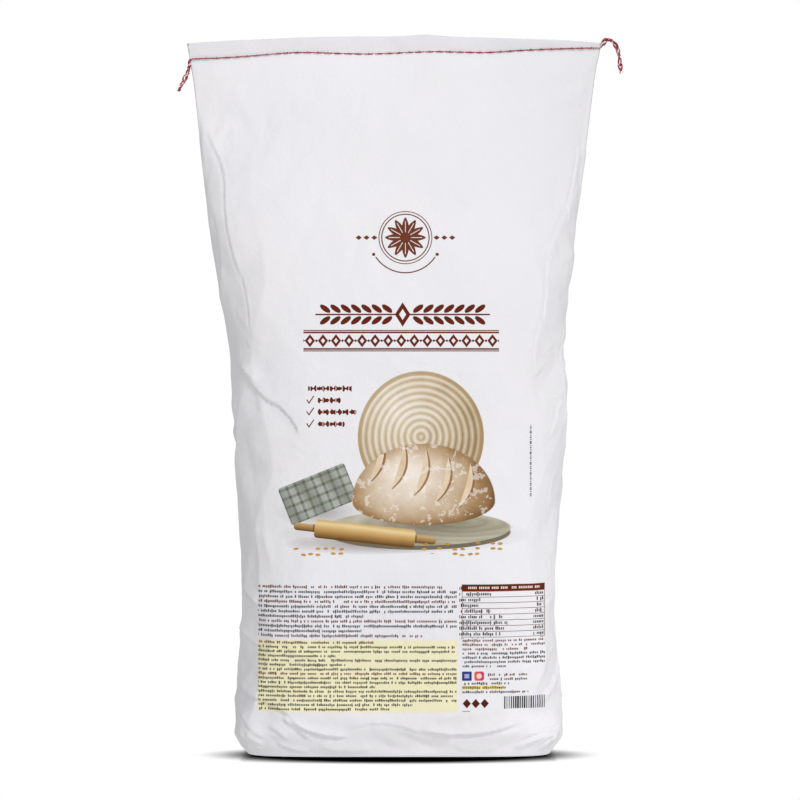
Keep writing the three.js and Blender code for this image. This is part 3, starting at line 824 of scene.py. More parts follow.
BACK_MIDDLE = 300.0
OVERLAP_FROM, OVERLAP_TO = BACK_MIDDLE - 4.0, BACK_MIDDLE + 24.0
OVERLAP_RISE = 0.45
in_overlap = (around_grid > OVERLAP_FROM) & (around_grid < OVERLAP_TO) & on_tube
total += OVERLAP_RISE * in_overlap * calm_hem * calm_base
print("skin stands", total[on_tube].std().round(3), "mm off the plain form on average")

# %% Stand the relief on the sheet's normals
along_row = np.roll(before, -1, axis=1) - np.roll(before, 1, axis=1)
up_column = np.gradient(before, axis=0)
normal = np.cross(along_row, up_column)
normal /= np.maximum(np.linalg.norm(normal, axis=2, keepdims=True), 1e-9)
place += normal * total[..., None]
across_way = along_row / np.maximum(np.linalg.norm(along_row, axis=2, keepdims=True), 1e-9)
up_way = up_column / np.maximum(np.linalg.norm(up_column, axis=2, keepdims=True), 1e-9)
place += across_way * slip[..., :1] + up_way * slip[..., 1:]

# Folds that cross the outline widen it, so the rows are brought back once more.
keep_width()

# The base: a pasted patch lies lowest, and the folded ends round it are a little higher.
PATCH_HALF_LENGTH, PATCH_HALF_WIDTH, PATCH_DEPTH = 84.0, 22.0, 0.35
off_patch = smooth((np.abs(place[:FIRST_TUBE, :, 0]) - PATCH_HALF_LENGTH) / 3)
off_patch = np.maximum(off_patch, smooth((np.abs(place[:FIRST_TUBE, :, 1]) - PATCH_HALF_WIDTH) / 3))
place[:FIRST_TUBE, :, 2] = PATCH_DEPTH * off_patch
place[FIRST_TUBE:, :, 2] = np.maximum(place[FIRST_TUBE:, :, 2], 0.0)

# The hem waves a little, with a few soft diagonal folds.
hem_x = place[SEAM_ROW + 1:, :, 0]
hem_rise = (place[SEAM_ROW + 1:, :, 2] - place[SEAM_ROW, :, 2]) / HEM_HEIGHT
hem_fold = np.zeros_like(hem_x)
HEM_FOLD_SCALE = 1.7
HEM_FOLDS = (  # where, how far it leans over the hem, how far it stands out and how wide it is
    (-74, 8, 0.7, 5),
    (-68, 9, -0.6, 4),
    (-112, -6, 0.5, 8),
    (2, -5, 0.7, 5),
    (14, -4, -0.6, 4),
    (57, 6, 0.5, 7),
    (-30, 5, 0.4, 9),
    (96, -6, 0.4, 9),
)
for fold_x, lean, rise, reach in HEM_FOLDS:
    distance = hem_x - fold_x - lean * (hem_rise - 0.5)
    hem_fold += HEM_FOLD_SCALE * rise * np.exp(-np.sqrt(distance**2 + 0.6) / reach)
place[SEAM_ROW + 1:, :, 1] -= hem_fold * smooth(hem_rise) * calm_rim[SEAM_ROW + 1:]
print("folded sack", place.min(axis=(0, 1)).round(1), place.max(axis=(0, 1)).round(1))


# %% [markdown]
# Now a flat grid is added, and where each of its vertices lies in the square tells the row and the
# column, and so the place, that it moves to. The grid's own UV map is rewritten as the paper's
# coordinates, in metres round the sack and up it. No finish reads that map here, because the
# print is laid out as it is seen from the front. A second map unwraps the sheet for baking, with
# most of its room for the printed front.

# %% Make a rolled sheet of any size
WELD = 0.00001  # corners nearer than this, in metres, become one


def rolled_sheet(name, points):
    """A grid whose vertex in row j, column i is points[j, i], closed round its columns."""
    row_count, column_count = points.shape[:2]
    bpy.ops.object.select_all(action="DESELECT")
    bpy.ops.mesh.primitive_grid_add(x_subdivisions=column_count, y_subdivisions=row_count - 1, size=1)
    made = bpy.context.object
    made.name = made.data.name = name
    mesh = made.data
    flat = np.empty(len(mesh.vertices) * 3)
    mesh.vertices.foreach_get("co", flat)
    flat = flat.reshape(-1, 3)
    i = np.rint((flat[:, 0] + 0.5) * column_count).astype(int)
    j = np.rint((flat[:, 1] + 0.5) * (row_count - 1)).astype(int)
    moved = points[j, i % column_count] * MM
    mesh.vertices.foreach_set("co", moved.ravel())
    corner = np.empty(len(mesh.loops), dtype=int)
    mesh.loops.foreach_get("vertex_index", corner)
    return made, i[corner], j[corner]


def write_uv(mesh, name, u, v):
    """Fills a UV map, and adds it if the mesh has none of that name."""
    layer = mesh.uv_layers.get(name) or mesh.uv_layers.new(name=name)
    layer.data.foreach_set("uv", np.stack([u, v], axis=1).ravel())


def volume(mesh):
    """What a closed mesh encloses in cubic metres, below zero if its faces look inwards."""
    mesh.calc_loop_triangles()
    corners = np.empty(len(mesh.loop_triangles) * 3, dtype=np.int32)
    mesh.loop_triangles.foreach_get("vertices", corners)
    spots = np.empty(len(mesh.vertices) * 3)
    mesh.vertices.foreach_get("co", spots)
    a, b, c = spots.reshape(-1, 3)[corners.reshape(-1, 3)].swapaxes(0, 1)
    return float((a * np.cross(b, c)).sum() / 6)


def weld_and_close(made):
    """Welds the first column to the last, closes the open ends and turns the faces outwards."""
    bpy.context.view_layer.objects.active = made
    bpy.ops.object.mode_set(mode="EDIT")
    bpy.ops.mesh.select_all(action="SELECT")
    bpy.ops.mesh.remove_doubles(threshold=WELD)
    bpy.ops.mesh.select_all(action="DESELECT")
    bpy.ops.mesh.select_mode(type="EDGE")
    bpy.ops.mesh.select_non_manifold()
    bpy.ops.mesh.edge_face_add()
    bpy.ops.mesh.select_mode(type="VERT")
    bpy.ops.mesh.select_all(action="SELECT")
    bpy.ops.mesh.normals_make_consistent(inside=False)
    bpy.ops.object.mode_set(mode="OBJECT")
    if volume(made.data) < 0:
        bpy.ops.object.mode_set(mode="EDIT")
        bpy.ops.mesh.flip_normals()
        bpy.ops.object.mode_set(mode="OBJECT")


# %% The sack as a mesh
sack, column_of, row_of = rolled_sheet("paper_sack", place)
sack_mesh = sack.data
around_ends = np.append(around, GIRTH - FLAT_WIDTH / 2)
sack_mesh.uv_layers[0].name = "Sheet"
write_uv(sack_mesh, "Sheet", around_ends[column_of] * MM, height[row_of] * MM)

ATLAS_SPLIT = 0.70  # the front's share of the bake's width
ATLAS_MARGIN = 0.004
MEASURED_COLUMN = 60  # the column whose length gives the bake's heights
quad_middle = np.repeat(column_of.reshape(-1, 4).mean(axis=1), 4)
is_front = quad_middle < FRONT_COLUMNS
front_u = (around_ends[column_of] + FLAT_WIDTH / 2) / FLAT_WIDTH
back_u = (around_ends[column_of] - FLAT_WIDTH / 2) / FLAT_WIDTH
climb_steps = np.linalg.norm(np.diff(place[:, MEASURED_COLUMN], axis=0), axis=1)
walked_up = np.concatenate([[0], np.cumsum(climb_steps)])
share_up = walked_up / walked_up[-1]
atlas_u = np.where(
    is_front,
    ATLAS_MARGIN + front_u * (ATLAS_SPLIT - 2 * ATLAS_MARGIN),
    ATLAS_SPLIT + back_u * (1 - ATLAS_SPLIT - ATLAS_MARGIN),
)
atlas_v = ATLAS_MARGIN + share_up[row_of] * (1 - 2 * ATLAS_MARGIN)
write_uv(sack_mesh, "OFBake", atlas_u, atlas_v)
weld_and_close(sack)
bpy.ops.object.select_all(action="DESELECT")
sack.select_set(True)
bpy.context.view_layer.objects.active = sack
bpy.ops.object.shade_smooth()
print("sack mesh", len(sack_mesh.polygons), "faces round", round(volume(sack_mesh) * 1000, 2), "litres")

# %% [markdown]
# ## The sewing thread
#
# A sack like this is closed by a chain stitch. One thread comes from the front: it lies on the
# paper and dives into a hole every 7 mm. Behind, a second thread makes a chain of loops that
# holds the first one. The machine runs on past both edges, so the chain hangs out there with
# nothing in it. The front thread is one tube along a path that dips. Each loop of the chain
# starts as a torus, is stretched to a link once, and is then copied along its way.

# %% Tubes along a path
THREAD = 0.95  # diameter
STITCH_PITCH = 7.4
THREAD_SIDES = 8
FRONT_GAP, CHAIN_GAP = 0.32, 0.35  # between the paper and the thread
TWIST = 1.1  # turns of the two plies, in radians for each millimetre
U_ALONG = 0.01  # what a millimetre of a strand adds to its u
PALE_SHIFT = 100.0  # what a pale strand's u is raised by
seam_left, seam_right = -151.3, 147.6


def smooth_path(knots, step):
    """Points at even steps on a smooth curve through the knots."""
    knots = np.array(knots, dtype=float)
    before_first, after_last = 2 * knots[0] - knots[1], 2 * knots[-1] - knots[-2]
    k = np.vstack([before_first, knots, after_last])
    t = np.linspace(0, 1, 24, endpoint=False)[:, None]
    pieces = []
    for a, b, c, d in zip(k, k[1:], k[2:], k[3:]):
        pieces.append(0.5 * (2 * b + (c - a) * t + (2 * a - 5 * b + 4 * c - d) * t**2
                             + (3 * b - a - 3 * c + d) * t**3))
    dense = np.vstack([*pieces, knots[-1:]])
    walked = np.concatenate([[0], np.cumsum(np.linalg.norm(np.diff(dense, axis=0), axis=1))])
    even = np.linspace(0, walked[-1], max(int(walked[-1] / step), 2) + 1)
    return np.stack([np.interp(even, walked, dense[:, axis]) for axis in range(3)], axis=1), walked[-1]


def frame_along(path):
    """Unit vectors along a path and across it, the first across being near the y axis."""
    ahead = np.gradient(path, axis=0)
    ahead /= np.linalg.norm(ahead, axis=1, keepdims=True)
    across = np.cross(np.cross(ahead, [0.0, 1.0, 0.0]), ahead)
    across /= np.linalg.norm(across, axis=1, keepdims=True)
    return ahead, across, np.cross(ahead, across)


def strand(name, path, diameter, shift):
    """A twisted thread along a path. shift is added to its u, and the finish reads it."""
    ahead, across, third = frame_along(path)
    walked = np.concatenate([[0], np.cumsum(np.linalg.norm(np.diff(path, axis=0), axis=1))])
    angle = np.linspace(0, 2 * pi, THREAD_SIDES, endpoint=False)
    twist = angle[None, :] - walked[:, None] * TWIST
    radius = diameter / 2 * (0.84 + 0.16 * np.cos(2 * twist))
    radius[[0, -1]] *= 0.5
    ring = across[:, None] * np.cos(angle)[None, :, None] + third[:, None] * np.sin(angle)[None, :, None]
    made, column, row = rolled_sheet(name, path[:, None, :] + ring * radius[..., None])
    made.data.uv_layers[0].name = "Thread"
    write_uv(made.data, "Thread", walked[row] * U_ALONG + shift, column / THREAD_SIDES)
    weld_and_close(made)
    return made


# %% The front thread
STITCH_KNOTS = (  # share of the stitch, how far out of its hole the thread is, and how far up
    (0.0, -0.3, 0.25),
    (0.07, 0.6, 0.15),
    (0.2, 1.0, 0.0),
    (0.5, 1.06, -0.12),
    (0.8, 1.0, 0.0),
    (0.93, 0.6, 0.15),
)
front_knots = []
stitch_x = seam_left
while stitch_x < seam_right - 1:
    step = min(STITCH_PITCH, seam_right - stitch_x)
    for share, out, lift in STITCH_KNOTS:
        at = stitch_x + share * step
        off = (STITCHED_HALF + FRONT_GAP + THREAD / 2) * out
        front_knots.append((at, float(mouth_wave(at)) - off, float(seam_line(at)) + lift))
    stitch_x += step
front_knots.append((seam_right, float(mouth_wave(seam_right)), float(seam_line(seam_right))))
front_path, front_length = smooth_path(front_knots, 0.75)
stitches = strand("front_stitches", front_path, THREAD, 0.0)
print("front thread", round(front_length), "mm,", len(stitches.data.polygons), "faces")

# %% One link of the chain
LINK_LENGTH, LINK_WIDTH, LINK_LEAN = 9.6, 2.5, 0.42
TORUS = 0.25  # radius of the tube of the ring that a link starts as, whose own radius is 1
LINK_U = 0.02  # what a millimetre of a link adds to its u
bpy.ops.object.select_all(action="DESELECT")
bpy.ops.mesh.primitive_torus_add(major_segments=22, minor_segments=6, major_radius=1.0, minor_radius=TORUS)
link = bpy.context.object
link.name = link.data.name = "link"
ring_points = np.empty(len(link.data.vertices) * 3)
link.data.vertices.foreach_get("co", ring_points)
ring_points = ring_points.reshape(-1, 3)
link_tube = ring_points[:, 2] / TORUS  # -1 to 1 over the thickness of the thread
link_angle = np.arctan2(ring_points[:, 1], ring_points[:, 0])
link_out = (np.hypot(ring_points[:, 0], ring_points[:, 1]) - 1.0) / TORUS


def link_shape(length, width, lean, diameter):
    """The link's points, long in x, wide in y, and leaning so that its head lies on the next."""
    cosine, sine = np.cos(link_angle), np.sin(link_angle)
    middle_x = cosine * (length - diameter) / 2
    middle_y = sine * (width - diameter) / 2 * (1 - 0.25 * cosine)
    outwards = np.stack([cosine * (width - diameter), sine * (length - diameter)], axis=1)
    outwards /= np.linalg.norm(outwards, axis=1, keepdims=True)
    points = np.stack([middle_x, middle_y], axis=1) + outwards * (link_out * diameter / 2)[:, None]
    return np.column_stack([points, lean * cosine + link_tube * diameter / 2])


def add_link(middle, ahead, across, third, shape, offset):
    """A copy of the link, set along a path. offset is where its u starts."""
    copy = link.copy()
    copy.data = link.data.copy()
    bpy.context.scene.collection.objects.link(copy)
    moved = middle + shape[:, :1] * ahead + shape[:, 1:2] * across + shape[:, 2:] * third
    copy.data.vertices.foreach_set("co", (moved * MM).ravel())
    uv = np.empty(len(copy.data.loops) * 2)
    copy.data.uv_layers[0].name = "Thread"
    copy.data.uv_layers["Thread"].data.foreach_get("uv", uv)
    uv = uv.reshape(-1, 2)
    write_uv(copy.data, "Thread", uv[:, 0] * LINK_LENGTH * LINK_U + offset, uv[:, 1])
    return copy


# %% The chain behind the hem, and the tails
CHAIN_WOBBLE = 0.12  # how far a loop of the chain is turned at most
made_thread = [stitches]
back_shape = link_shape(LINK_LENGTH, LINK_WIDTH, LINK_LEAN, THREAD)
stitch_x = seam_left + STITCH_PITCH / 2
number = 0
while stitch_x < seam_right:
    chain_y = float(mouth_wave(stitch_x)) + STITCHED_HALF + CHAIN_GAP + THREAD
    middle = np.array([stitch_x, chain_y, float(seam_line(stitch_x))])
    ahead = np.array([1.0, 0.0, SEAM_CLIMB / FLAT_WIDTH])
    wobble = CHAIN_WOBBLE * sin(number * 2.4)
    across = np.array([wobble * 0.2, -wobble, -1.0])
    third = np.array([0.0, 1.0, -wobble])
    made_thread.append(add_link(middle, ahead, across, third, back_shape, number * 0.07))
    stitch_x += STITCH_PITCH
    number += 1

TAIL_LINK, TAIL_WIDTH, TAIL_STEP, TAIL_THREAD, TAIL_LEAN = 6.6, 3.8, 3.9, 1.15, 0.5
FRAYED_END = 2.4  # the end of a tail that has no links
WIND_PITCH, WIND_SETTLES = 8.5, 4  # one turn of a strand round its tail, and where it is fully out
PALE_STRAND, PALE_OUT = 0.85, 1.15  # how thick the pale strand is, and how far from the middle
RED_STRAND, RED_OUT, RED_BEHIND = 0.95, 0.7, 2.6  # the red one too, and how far it turns behind it


def wound(path, across, third, angle, out, walked):
    """A path that winds round another, on which it starts."""
    way = across * np.cos(angle)[:, None] + third * np.sin(angle)[:, None]
    return path + way * out * smooth(walked / WIND_SETTLES)[:, None]


left_end = (seam_left, float(mouth_wave(seam_left)), float(seam_line(seam_left)))
right_end = (seam_right, float(mouth_wave(seam_right)), float(seam_line(seam_right)))
tails = {  # each with where its first link lies, how far that is rolled, and its path
    "left": (3.0, 0.5, [
        left_end,
        (-152.6, left_end[1], 500.6),
        (-153.6, 0.6, 496),
        (-156.4, 0.3, 490),
        (-160.6, 0, 481.5),
    ]),
    "right": (5.5, 0.0, [
        right_end,
        (149.6, right_end[1], 516.6),
        (151.6, 0.4, 519.2),
        (156.8, 0.2, 517.6),
        (160.4, 0, 510.5),
        (161.4, 0, 503.5),
        (162.6, 0, 494.5),
    ]),
}
tail_shape = link_shape(TAIL_LINK, TAIL_WIDTH, TAIL_LEAN, TAIL_THREAD)
for name, (first, first_roll, knots) in tails.items():
    path, length = smooth_path(knots, 0.5)
    ahead, across, third = frame_along(path)
    walked = np.linspace(0, length, len(path))
    for number, at in enumerate(np.arange(first, length - FRAYED_END, TAIL_STEP)):
        i = int(np.argmin(np.abs(walked - at)))
        roll = 0.9 * number + first_roll
        flat = across[i] * sin(roll) + third[i] * cos(roll)
        up = third[i] * sin(roll) - across[i] * cos(roll)
        made_thread.append(add_link(path[i], ahead[i], flat, up, tail_shape, number * 0.11))
    # A pale strand winds through the links, and both threads end frayed.
    wind = walked / WIND_PITCH * 2 * pi
    pale_path = wound(path, across, third, wind, PALE_OUT, walked)
    made_thread.append(strand(name + "_pale_strand", pale_path, PALE_STRAND, PALE_SHIFT))
    red_path = wound(path, across, third, wind + RED_BEHIND, RED_OUT, walked)
    made_thread.append(strand(name + "_red_strand", red_path, RED_STRAND, 0.0))
bpy.data.objects.remove(link)

bpy.ops.object.select_all(action="DESELECT")
for piece in made_thread:
    piece.select_set(True)
bpy.context.view_layer.objects.active = stitches
bpy.ops.object.join()
stitches.name = stitches.data.name = "sewing_thread"
bpy.ops.object.shade_smooth()
print("thread", len(stitches.data.polygons), "faces from", len(made_thread), "strands and links")

# %% [markdown]
# ## Thread finish
#
# The thread is spun cotton of two plies, dark red, with a pale ply that shows now and then. The
# stripes follow the thread's own map: u runs along it and v round it. The pale strand of the
# tails was given a u far above the others, and the material takes the paler colour there.

# %% Thread material
thread_paint, thread_shader, fibre_start = start_material("spun_cotton_thread", 0.75)
thread_shader.inputs["Sheen Weight"].default_value = 0.25
thread_map = fibre_start.node("ShaderNodeUVMap", {"uv_map": "Thread"})
along_thread = thread_map.node("ShaderNodeSeparateXYZ", inputs={0: thread_map})
around_thread = along_thread.other(1)
is_pale = along_thread > PALE_SHIFT / 2
PLY_TURNS = 62.0  # turns of the stripe for each 1 of u
spiral = (along_thread * PLY_TURNS + around_thread).math("FRACT")
thread_spot = fibre_start.node("ShaderNodeTexCoord", output="Object")


def thread_noise(scale, detail):
    """Noise on the thread, as a number from 0 to 1."""
    inputs = {"Vector": thread_spot, "Scale": scale, "Detail": detail}
    return fibre_start.node("ShaderNodeTexNoise", inputs=inputs)


speckle = thread_noise(1500.0, 2.0)
patches = thread_noise(260.0, 1.0)
pale_ply = (spiral < 0.22) * (patches > 0.54)
RED_DARK, RED, PALE = srgb(92, 6, 26), srgb(182, 16, 40), srgb(240, 220, 220)
red = mix(speckle, RED_DARK, RED)
colour = mix((is_pale + pale_ply).clamp(), red, PALE)
feed(thread_shader, "Base Color", colour)
thread_bump = fibre_start.node(
    "ShaderNodeBump", inputs={"Strength": 0.5, "Distance": 0.0003, "Height": speckle * 0.5 + spiral * 0.5}
)
feed(thread_shader, "Normal", thread_bump)
stitches.data.materials.clear()
stitches.data.materials.append(thread_paint)
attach(stitches, "root")
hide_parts("seam_thread")

# %% [markdown]
# ## Paper
#
# The sack's outer ply is bleached kraft paper with a smooth matt face. Close up it shows short
# fibres and tiny cockles, and it is a little clouded where it was handled. The print is flat ink
# on it, so one material holds both: first the paper's own colour, then every field of ink laid
# over it, and a bump that knows nothing of the print.

# %% Plain paper, before its print
paper, paper_shader, start = start_material("white_kraft_paper", 0.62, Specular_IOR_Level=0.12)
body = start.node("ShaderNodeTexCoord", output="Object")


def noise(scale, detail=2.0, roughness=0.5, distortion=0.0):
    """Noise in the paper, as a number from 0 to 1."""
    inputs = {"Vector": body, "Scale": scale, "Detail": detail}
    inputs |= {"Roughness": roughness, "Distortion": distortion}
    return start.node("ShaderNodeTexNoise", inputs=inputs)


cloud = noise(15, 3.0)
fibre = noise(1100, 2.0, 0.6)
cockle = noise(330, 2.0, 0.6, 0.8)
ripple = noise(120, 2.0, 0.55, 1.0)
shade = cloud * 0.06 + fibre * 0.03 + cockle * 0.02 + 0.930
tint = noise(9, 2.0) * 0.02 - 0.01
PAPER_RED, PAPER_GREEN, PAPER_BLUE = 0.815, 0.804, 0.832
white_channels = {0: (shade + tint) * PAPER_RED, 1: shade * PAPER_GREEN, 2: (shade - tint) * PAPER_BLUE}
white = start.node("ShaderNodeCombineColor", inputs=white_channels)
crumple = start.node(
    "ShaderNodeTexVoronoi",
    {"feature": "SMOOTH_F1", "distance": "EUCLIDEAN"},
    {"Vector": body, "Scale": 95.0, "Smoothness": 0.25, "Randomness": 1.0},
)
relief_sum = crumple * 0.45 + ripple * 0.55 + cockle * 0.28 + fibre * 0.03
bump = start.node("ShaderNodeBump", inputs={"Strength": 0.5, "Distance": 0.0010, "Height": relief_sum})
feed(paper_shader, "Normal", bump)
print("paper without print:", len(paper.node_tree.nodes), "nodes")

# %% [markdown]
# ### Shapes of ink
#
# Images could carry the print, but a formula stays sharp from near by. In the photo all lines of
# the print run dead straight over the folds, so it is laid out flat as it is seen from the front,
# in millimetres across and up. Each shape is a mask: 1 inside, 0 outside, with an edge a quarter
# of a millimetre wide, as ink on paper has. A Mapping node brings a shape to the middle of its
# own small field, turned and scaled to reach from -1 to 1, and the length of the vector there
# says how far out a point lies. Every mask costs a few nodes only, which keeps the render fast.

# %% Masks
EDGE = 0.25
on_body = body.node("ShaderNodeSeparateXYZ", inputs={0: body})
x = on_body * (1 / MM)
z = on_body.other(2) * (1 / MM)
sheet = start.node("ShaderNodeCombineXYZ", inputs={0: x, 1: z})


def soft(distance, slope=1 / EDGE):
    """1 where the distance to the outline, inwards, is positive, through a narrow edge."""
    return distance.math("MULTIPLY_ADD", slope, 0.5, clamp=True)


def field(middle_x, middle_z, half_x=1.0, half_z=1.0, turn=0.0):
    """The sheet as a shape's own field, in which it reaches from -1 to 1."""
    inputs = {
        "Vector": sheet,
        "Location": (middle_x, middle_z, 0.0),
        "Rotation": (0.0, 0.0, radians(turn)),
        "Scale": (half_x, half_z, 1.0),
    }
    return sheet.node("ShaderNodeMapping", {"vector_type": "TEXTURE"}, inputs)


def ellipse(middle_x, middle_z, half_x, half_z):
    """An upright oval."""
    reach = field(middle_x, middle_z, half_x, half_z).vector("LENGTH")
    slope = min(half_x, half_z) / EDGE
    return reach.math("MULTIPLY_ADD", -slope, slope + 0.5, clamp=True)


def box(left, right, low, high, turn=0.0, rounding=EDGE / 2):
    """A box; its outline is where the way out of a smaller box equals the rounding."""
    half = ((right - left) / 2 - rounding, (high - low) / 2 - rounding, 0.0)
    own_field = field((left + right) / 2, (low + high) / 2, turn=turn)
    outside = own_field.vector("ABSOLUTE").vector("SUBTRACT", half)
    way_out = outside.vector("MAXIMUM", (0.0, 0.0, 0.0)).vector("LENGTH")
    return way_out.math("MULTIPLY_ADD", -1 / EDGE, rounding / EDGE + 0.5, clamp=True)


def stroke(x0, z0, x1, z1, width):
    """A straight stroke with round ends."""
    half = hypot(x1 - x0, z1 - z0) / 2 + width / 2
    middle_x, middle_z = (x0 + x1) / 2, (z0 + z1) / 2
    turn = degrees(atan2(z1 - z0, x1 - x0))
    return box(middle_x - half, middle_x + half, middle_z - width / 2, middle_z + width / 2, turn, width / 2)


def blurred(middle_x, middle_z, half_x, half_z, power=1.0):
    """A soft spot that fades from its middle to nothing at its outline."""
    reach = field(middle_x, middle_z, half_x, half_z).vector("LENGTH")
    return reach.math("MULTIPLY_ADD", -1.0, 1.0, clamp=True) ** power


def wave(value, period):
    """How far a value is from the nearest whole number of periods."""
    return value.math("PINGPONG", period / 2)


def choose(mask, first, second):
    """A number: first where the mask is 0 and second where it is 1."""
    return mask.node("ShaderNodeMix", {"data_type": "FLOAT"}, {0: mask, 2: first, 3: second})


inked = white


def ink(mask, colour, strength=1.0):
    """Lays a colour over what is printed so far."""
    global inked
    inked = mix(mask * strength if strength < 1 else mask, inked, colour)


# %% [markdown]
# ### Emblem and ornaments
#
# High on the front sits a plain rosette in a double ring, an ornament as old as bread stamps. Two
# bands run below it: a garland of leaves that grows out from the middle, and diamonds between
# double rules.

# %% Rosette
BROWN_LINE = srgb(108, 52, 30)
BROWN = srgb(98, 30, 5)
EMBLEM_X, EMBLEM_Z = 5.0, 373.0
PETALS = 12
around_emblem = field(EMBLEM_X, EMBLEM_Z)
from_middle = around_emblem.vector("LENGTH")
off_middle = around_emblem.node("ShaderNodeSeparateXYZ", inputs={0: around_emblem})
bearing = off_middle.other(1).math("ARCTAN2", off_middle)
petal_side = wave(bearing, 2 * pi / PETALS) * from_middle
petal_half = (from_middle * (pi / 15.5)).math("SINE").math("MAXIMUM", 0.0) * 2.5
petal = soft(petal_half - petal_side) * soft(14.6 - from_middle)
vein = soft(0.24 - petal_side) * soft(12.0 - from_middle) * soft(from_middle - 4.0)
rings = soft(0.42 - abs(from_middle - 17.0)) + soft(0.32 - abs(from_middle - 19.0)) + soft(1.7 - from_middle)
sprig = soft(1.7 - wave(abs(off_middle) - 28.0, 5.6) * 0.75 - abs(off_middle.other(1)))
sprig *= soft(8.4 - abs(abs(off_middle) - 28.0))
smile = soft(0.45 - abs(from_middle - 25.5)) * soft(-14.0 - off_middle.other(1))
SMILE_END_X, SMILE_END_Z, SMILE_DOT = 22.8, 12.2, 1.2
left_dot = ellipse(EMBLEM_X - SMILE_END_X, EMBLEM_Z - SMILE_END_Z, SMILE_DOT, SMILE_DOT)
right_dot = ellipse(EMBLEM_X + SMILE_END_X, EMBLEM_Z - SMILE_END_Z, SMILE_DOT, SMILE_DOT)
smile_ends = left_dot + right_dot
ink((petal * (1.0 - vein) + rings + sprig + smile + smile_ends).clamp(), BROWN_LINE)

# %% Garland and diamonds
GARLAND_X, GARLAND_Z, GARLAND_HALF = 3.0, 317.4, 62.5
LEAF_PITCH, LEAF_LEAN = 7.4, 36.0
garland_out = abs(x - GARLAND_X)
off_stem = abs(z - GARLAND_Z)
beside_leaf = (garland_out * (1 / LEAF_PITCH)).math("FRACT") * LEAF_PITCH
leaf_spot = start.node("ShaderNodeCombineXYZ", inputs={0: beside_leaf, 1: off_stem})
leaf_inputs = {
    "Vector": leaf_spot,
    "Location": (LEAF_PITCH / 2, 4.2, 0.0),
    "Rotation": (0.0, 0.0, radians(LEAF_LEAN)),
    "Scale": (4.5, 1.9, 1.0),
}
leaf_reach = start.node("ShaderNodeMapping", {"vector_type": "TEXTURE"}, leaf_inputs).vector("LENGTH")
leaf = soft(1.0 - leaf_reach, 1.9 / EDGE) * soft(garland_out - LEAF_PITCH)
leaf *= soft(GARLAND_HALF - 3.2 - garland_out)
stem = soft(0.55 - off_stem) * soft(GARLAND_HALF - garland_out)
heart_reach = garland_out * (1 / 5.6) + off_stem * (1 / 8.8)
heart = soft(1.0 - heart_reach, 5.6 / EDGE) * soft(heart_reach - 0.45, 5.6 / EDGE)
ink((leaf + stem * soft(garland_out - 5.0) + heart).clamp(), BROWN)

DIAMOND_X, DIAMOND_Z, DIAMOND_HALF = 2.0, 298.6, 70.0
DIAMOND_PITCH = 9.333
diamond_out = abs(x - DIAMOND_X)
off_line = abs(z - DIAMOND_Z)
diamond_off = wave(diamond_out, DIAMOND_PITCH)
diamond_reach = diamond_off * (1 / 3.7) + off_line * (1 / 4.7)
diamond = soft(1.0 - diamond_reach, 3.0 / EDGE) * soft(diamond_reach - 0.42, 3.0 / EDGE)
bead = soft(1.1 - (DIAMOND_PITCH / 2 - diamond_off) - off_line)
rules = soft(0.36 - abs(off_line - 7.3)) + soft(0.6 - abs(off_line - 5.9))
ink(((diamond + bead + rules) * soft(DIAMOND_HALF - diamond_out)).clamp(), BROWN)
print("with ornaments:", len(paper.node_tree.nodes), "nodes")

# %% [markdown]
# ### Words without letters
#
# The small print says what is in the sack and how to use it. Here it is only the grey of words:
# strokes of random width and height in lines, with gaps between words, so nothing can be read.
# One field of such strokes covers the whole sheet, and the blocks of print are cut out of it.
# Each block has its own height of a line, so the number of the line is worked out first.

# %% Which line a point is in
NOTES_LEFT, NOTES_RIGHT, NOTES_TOP, NOTES_PITCH = -100.7, 41.4, 124.7, 3.5
PANEL_TOP, PANEL_LOW, PANEL_PITCH, PANEL_FIRST = 84.9, 33.0, 3.2, 20
COLUMN_LEFT, COLUMN_RIGHT, COLUMN_TOP, COLUMN_PITCH, COLUMN_FIRST = 45.3, 105.0, 86.3, 3.1, 40
TABLE_TOP, TABLE_LOW, TABLE_HEAD, TABLE_ROWS, TABLE_FIRST = 124.9, 87.3, 4.9, 8, 60
row_height = (TABLE_TOP - TABLE_HEAD - TABLE_LOW) / TABLE_ROWS


def lines(top, pitch, first):
    """The number of the line at each height, with how far down it is as its fraction."""
    return z.math("MULTIPLY_ADD", -1 / pitch, top / pitch + first)


in_column = x > (NOTES_RIGHT + COLUMN_LEFT) / 2
in_panel = z < PANEL_TOP + 0.3
in_table = z > COLUMN_TOP
left_lines = choose(
    in_panel,
    lines(NOTES_TOP, NOTES_PITCH, 0),
    lines(PANEL_TOP - 0.2, PANEL_PITCH, PANEL_FIRST),
)
right_lines = choose(
    in_table,
    lines(COLUMN_TOP, COLUMN_PITCH, COLUMN_FIRST),
    lines(TABLE_TOP - TABLE_HEAD, row_height, TABLE_FIRST),
)
down = choose(in_column, left_lines, right_lines)
line = down.math("FLOOR")
in_line = down - line - 0.5

# %% Strokes
STROKE_PITCH = 1.3


def chance(*numbers):
    """Random numbers from 0 to 1, one and three more for each set of whole numbers."""
    spot = start.node("ShaderNodeCombineXYZ", inputs=dict(enumerate(numbers)))
    drawn = start.node("ShaderNodeTexWhiteNoise", {"noise_dimensions": "3D"}, {"Vector": spot})
    more = drawn.node("ShaderNodeSeparateColor", inputs={0: drawn.other(1)})
    return drawn, more, more.other(1), more.other(2)


